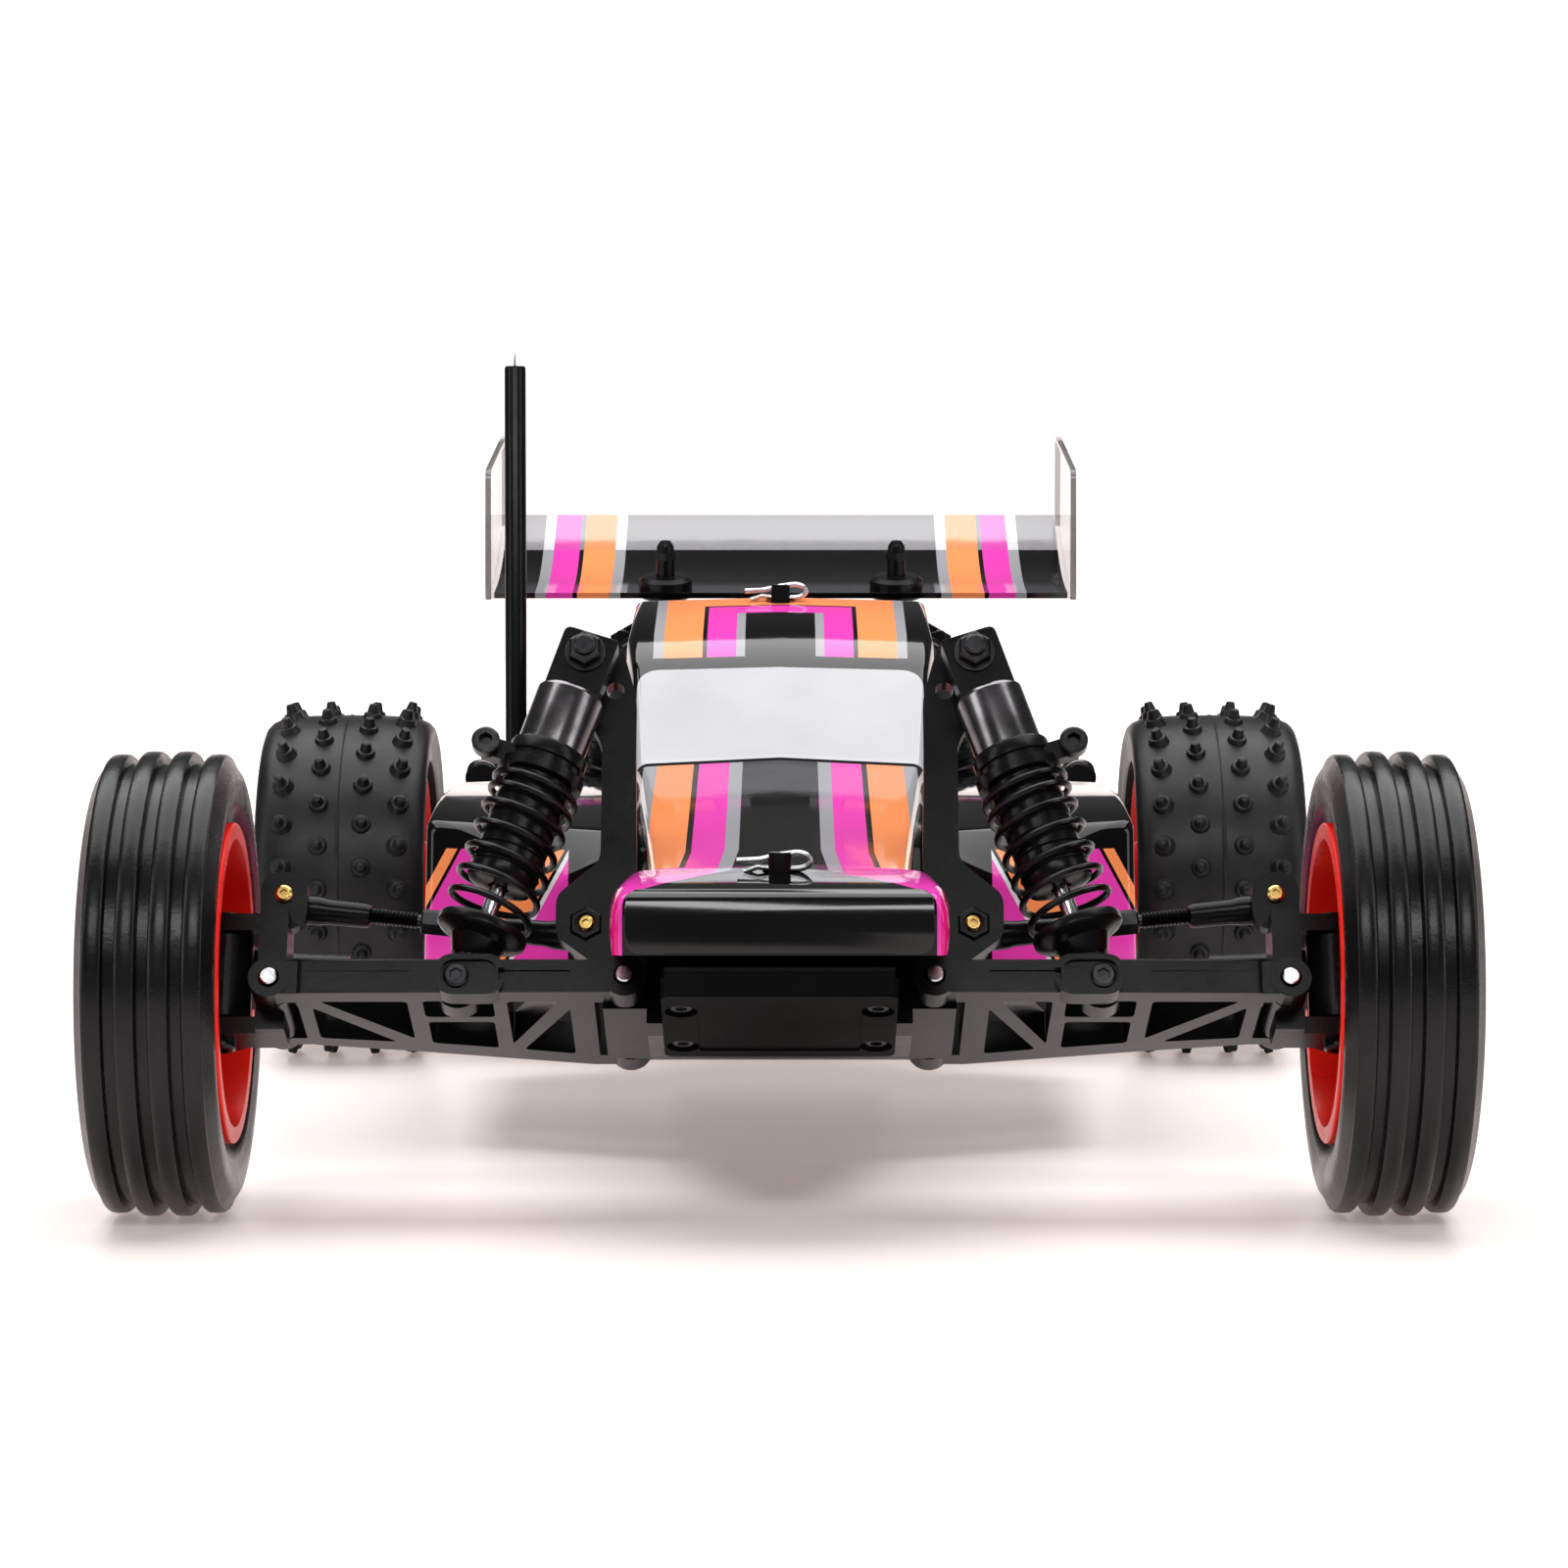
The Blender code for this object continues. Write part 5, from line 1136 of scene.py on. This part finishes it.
def build_motor_and_antenna():
    centre = pivot("pinion_gear_spin")
    low, high = low_corner("drive_motor"), high_corner("drive_motor")
    radius = (high.z - low.z) / 2.0
    can = turned([(-6.6, radius - 1.6), (-6.2, radius - 0.3), (-5.6, radius), (15.6, radius),
                  (15.8, radius - 0.35), (16.4, radius - 0.35), (16.6, radius), (20.0, radius),
                  (20.7, radius - 1.2)], centre, (1, 0, 0), 64)
    ports = [placed(box((9.0, -3.0, 5.0), (13.6, 3.0, 20.0)),
                    Matrix.Translation(centre) @ Matrix.Rotation(math.radians(a), 4, 'X'))
             for a in (20, 200)]
    core = turned([(-6.0, radius - 1.4), (19.0, radius - 1.4)], centre, (1, 0, 0), 48)
    piece("motor_can_detail", "can", ROOT, [can], ports, bevel=0.15, nodes=["drive_motor"])
    piece("motor_core", "screw", ROOT, [core], bevel=0.1)
    x, y, foot = antenna_foot()
    height = high_corner("antenna_tube").z - foot
    tube_length = 87.6
    tube = turned([(0.0, 2.9), (3.6, 2.9), (4.0, 2.5), (4.1, 1.5), (tube_length, 1.5),
                   (87.9, 1.3)], (x, y, foot), (0, 0, 1), 32)
    piece("antenna_detail", "nylon", ROOT, [tube], bevel=0.0, nodes=["antenna_tube"])
    wire = turned([(0.0, 0.3), (0.9, 0.3), (height - tube_length, 0.18)],
                  (x, y, foot + tube_length), (0.03, 0, 1), 10)
    piece("aerial_wire_end", "steel", ROOT, [wire], bevel=0.0)


# ---- body shell and wing ---------------------------------------------------------------------
def skin_object(name, rows, thickness):
    """A lofted skin, closed at its front. Each row is a place along the car and half a
    section, from its lower edge up to the crown."""
    builder = bmesh.new()
    grid = []
    for y, half in rows:
        points = list(half) + [(-x, z) for x, z in half[:-1]][::-1]
        grid.append([builder.verts.new((x * MM, y * MM, z * MM)) for x, z in points])
    for first, second in zip(grid, grid[1:]):
        for k in range(len(first) - 1):
            builder.faces.new((first[k], first[k + 1], second[k + 1], second[k]))
    builder.faces.new(grid[0])
    bmesh.ops.recalc_face_normals(builder, faces=builder.faces)
    highest = max(builder.faces, key=lambda face: face.calc_center_median().z)
    if highest.normal.z < 0.0:
        bmesh.ops.reverse_faces(builder, faces=builder.faces)
    mesh = bpy.data.meshes.new(name)
    builder.to_mesh(mesh)
    builder.free()
    for finish in ("shell", "nylon"):
        mesh.materials.append(MATERIALS[finish])
    obj = linked(name, mesh)
    bevel_edges(obj, 1.7, 4, 22.0).use_clamp_overlap = True
    wall = obj.modifiers.new("thickness", 'SOLIDIFY')
    wall.thickness = thickness * MM
    wall.offset = -1.0
    wall.material_offset = 1
    return obj


SHELL_ROWS = [
    (-119.0, [(19.0, 32.9), (19.1, 34.6), (19.0, 37.6), (18.2, 39.8), (0, 40.2)]),
    (-112.0, [(19.3, 33.0), (19.6, 35.0), (19.4, 38.4), (18.4, 40.6), (0, 40.8)]),
    (-100.2, [(19.3, 33.0), (19.4, 35.0), (18.8, 39.0), (17.2, 41.2), (0, 41.6)]),
    (-98.6, [(15.2, 36.0), (15.3, 38.0), (15.4, 39.6), (15.4, 41.2), (0, 42.0)]),
    (-72.0, [(16.0, 34.0), (16.2, 37.0), (16.4, 41.0), (16.6, 45.0), (0, 45.8)]),
    (-44.0, [(18.4, 25.0), (18.4, 33.0), (18.4, 42.0), (18.2, 49.2), (0, 50.1)]),
    (-41.0, [(30.0, 24.2), (29.0, 36.0), (20.0, 40.0), (18.4, 49.6), (0, 50.5)]),
    (-35.0, [(46.9, 24.2), (46.5, 43.2), (21.5, 42.0), (18.7, 50.4), (0, 51.3)]),
    (-15.0, [(47.4, 24.2), (46.6, 45.4), (21.8, 45.0), (19.9, 62.8), (0, 63.3)]),
    (-8.0, [(47.4, 24.2), (46.6, 45.6), (21.9, 45.6), (20.9, 67.0), (0, 67.5)]),
    (15.0, [(47.4, 24.2), (46.2, 45.6), (21.4, 46.6), (20.5, 71.6), (0, 72.2)]),
    (24.0, [(47.4, 24.2), (45.4, 44.8), (20.0, 46.0), (18.6, 64.0), (0, 65.0)]),
    (40.0, [(46.0, 24.2), (42.0, 40.6), (17.0, 44.6), (14.6, 56.0), (0, 57.0)]),
    (47.0, [(38.0, 24.2), (34.0, 36.0), (15.0, 41.0), (13.0, 53.0), (0, 54.0)]),
    (51.0, [(15.4, 26.0), (15.0, 32.0), (13.6, 38.0), (11.6, 51.0), (0, 52.0)]),
    (59.5, [(12.6, 30.0), (12.4, 34.0), (11.4, 38.0), (9.6, 49.0), (0, 50.0)])]
FRONT_POST = (0.0, -103.5)
REAR_POST = (0.0, 12.0)


def build_shell():
    shell = skin_object("painted_body", SHELL_ROWS, 0.8)
    antenna = antenna_foot()[:2]
    helpers = []
    for place, bottom, top, radius in ((FRONT_POST, 30, 60, 2.1), (REAR_POST, 60, 80, 2.1),
                                       (antenna, 35, 60, 2.3)):
        hole = rod((*place, bottom), (*place, top), radius, sides=32)
        cutter = linked("cutter", mesh_of(hole, MM))
        cut = shell.modifiers.new("hole", 'BOOLEAN')
        cut.operation = 'DIFFERENCE'
        cut.object = cutter
        helpers.append(cutter)
    mesh = evaluated(shell)
    for helper in helpers + [shell]:
        bpy.data.objects.remove(helper, do_unlink=True)
    mesh.shade_smooth()
    mesh.set_sharp_from_angle(angle=math.radians(40.0))
    obj = linked("painted_body", mesh)
    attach(obj, ROOT)
    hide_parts("body_shell")
    for name, (x, y), z in (("front", FRONT_POST, 40.3), ("rear", REAR_POST, 70.6)):
        body_clip(name, x, y, z)
    nose_panel()


def nose_panel():
    """The glossy front panel: upright, with a bright slanted facet under its top edge."""
    rim = rounded_outline([(-17.5, 33.2), (17.5, 33.2), (17.5, 40.4), (-17.5, 40.4)], 1.9, 6)
    panel = slab(rim, "xt", -120.2, -117.8)
    slope = slab([(-121.0, 37.3), (-120.2, 37.3), (-119.5, 39.2), (-118.9, 39.9),
                  (-118.0, 40.3), (-117.0, 41.4), (-121.0, 41.4)], "st", -18.0, 18.0)
    piece("nose_panel", "gloss", ROOT, [panel], [slope], bevel=0.18)


def body_clip(name, x, y, z):
    """A bent-wire retaining clip pushed through its post."""
    route = []
    for k in range(13):
        angle = math.radians(-90 + 15 * k)
        route.append((1.9 + 1.7 * math.cos(angle), 1.7 * math.sin(angle)))
    route = [(-4.2, -2.3), (-2.6, -1.2), (0.0, -1.9), *route,
             (0.0, 1.2), (-2.4, 0.2), (-5.0, 0.0)]
    curve = bpy.data.curves.new(f"{name}_clip", 'CURVE')
    curve.dimensions = '3D'
    curve.bevel_depth = 0.38 * MM
    curve.bevel_resolution = 3
    curve.use_fill_caps = True
    spline = curve.splines.new('POLY')
    spline.points.add(len(route) - 1)
    for point, (along, up) in zip(spline.points, route):
        point.co = ((x + along) * MM, (y - 0.2) * MM, (z + 2.3 + up * 0.55) * MM, 1.0)
    wire = linked(f"{name}_clip_wire", curve)
    mesh = evaluated(wire)
    bpy.data.objects.remove(wire, do_unlink=True)
    mesh.materials.clear()
    mesh.materials.append(MATERIALS["steel"])
    mesh.shade_smooth()
    clip = linked(f"{name}_body_clip", mesh)
    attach(clip, ROOT)


def build_wing():
    """The main plane is a shallow curve; an upright dam closes each end."""
    low, high = low_corner("rear_wing"), high_corner("rear_wing")
    y0, z0, chord, rise = 83.5, 71.5, 37.5, 12.5
    steps = 20
    upper, lower = [], []
    for i in range(steps + 1):
        share = i / steps
        sag = -2.4 * math.sin(math.pi * share)
        upper.append((y0 + chord * share, z0 + rise * share + sag + 0.45))
        lower.append((y0 + chord * share + 0.3, z0 + rise * share + sag - 0.45))
    shapes = [slab(upper + lower[::-1], "st", low.x + 0.4, high.x - 0.4)]
    dam = rounded_outline([(79.6, 70.6), (100.0, 74.1), (high.y, 82.6), (high.y, 97.7),
                           (80.6, 91.1)], 1.6, 5)
    for near, far in ((high.x - 0.95, high.x - 0.05), (low.x + 0.05, low.x + 0.95)):
        shapes.append(slab(dam, "st", near, far))
    piece("wing_detail", "wing", ROOT, shapes, bevel=0.15, nodes=["rear_wing"])
    for sign, label in SIDES:
        foot = (sign * 18.2, 88.0, 72.0)
        button = [turned([(-0.8, 3.9), (-0.5, 4.2), (2.0, 4.2), (2.6, 3.6), (2.7, 1.5)], foot,
                         (0, -0.2, 1), 40),
                  turned([(2.4, 1.5), (7.4, 1.35), (8.2, 0.8)], foot, (0, -0.2, 1), 24),
                  turned([(5.4, 1.9), (6.6, 1.9)], foot, (0, -0.2, 1), 6)]
        piece(f"wing_button_{label}", "nylon", ROOT, button, bevel=0.12)


def main():
    build_camera()
    build_floor()
    build_light()
    dress_cad_nodes()
    for side, label in SIDES:
        front_corner(side, label)
        rear_corner(side, label)
    build_bumper()
    build_tower()
    build_motor_and_antenna()
    build_shell()
    build_wing()


main()
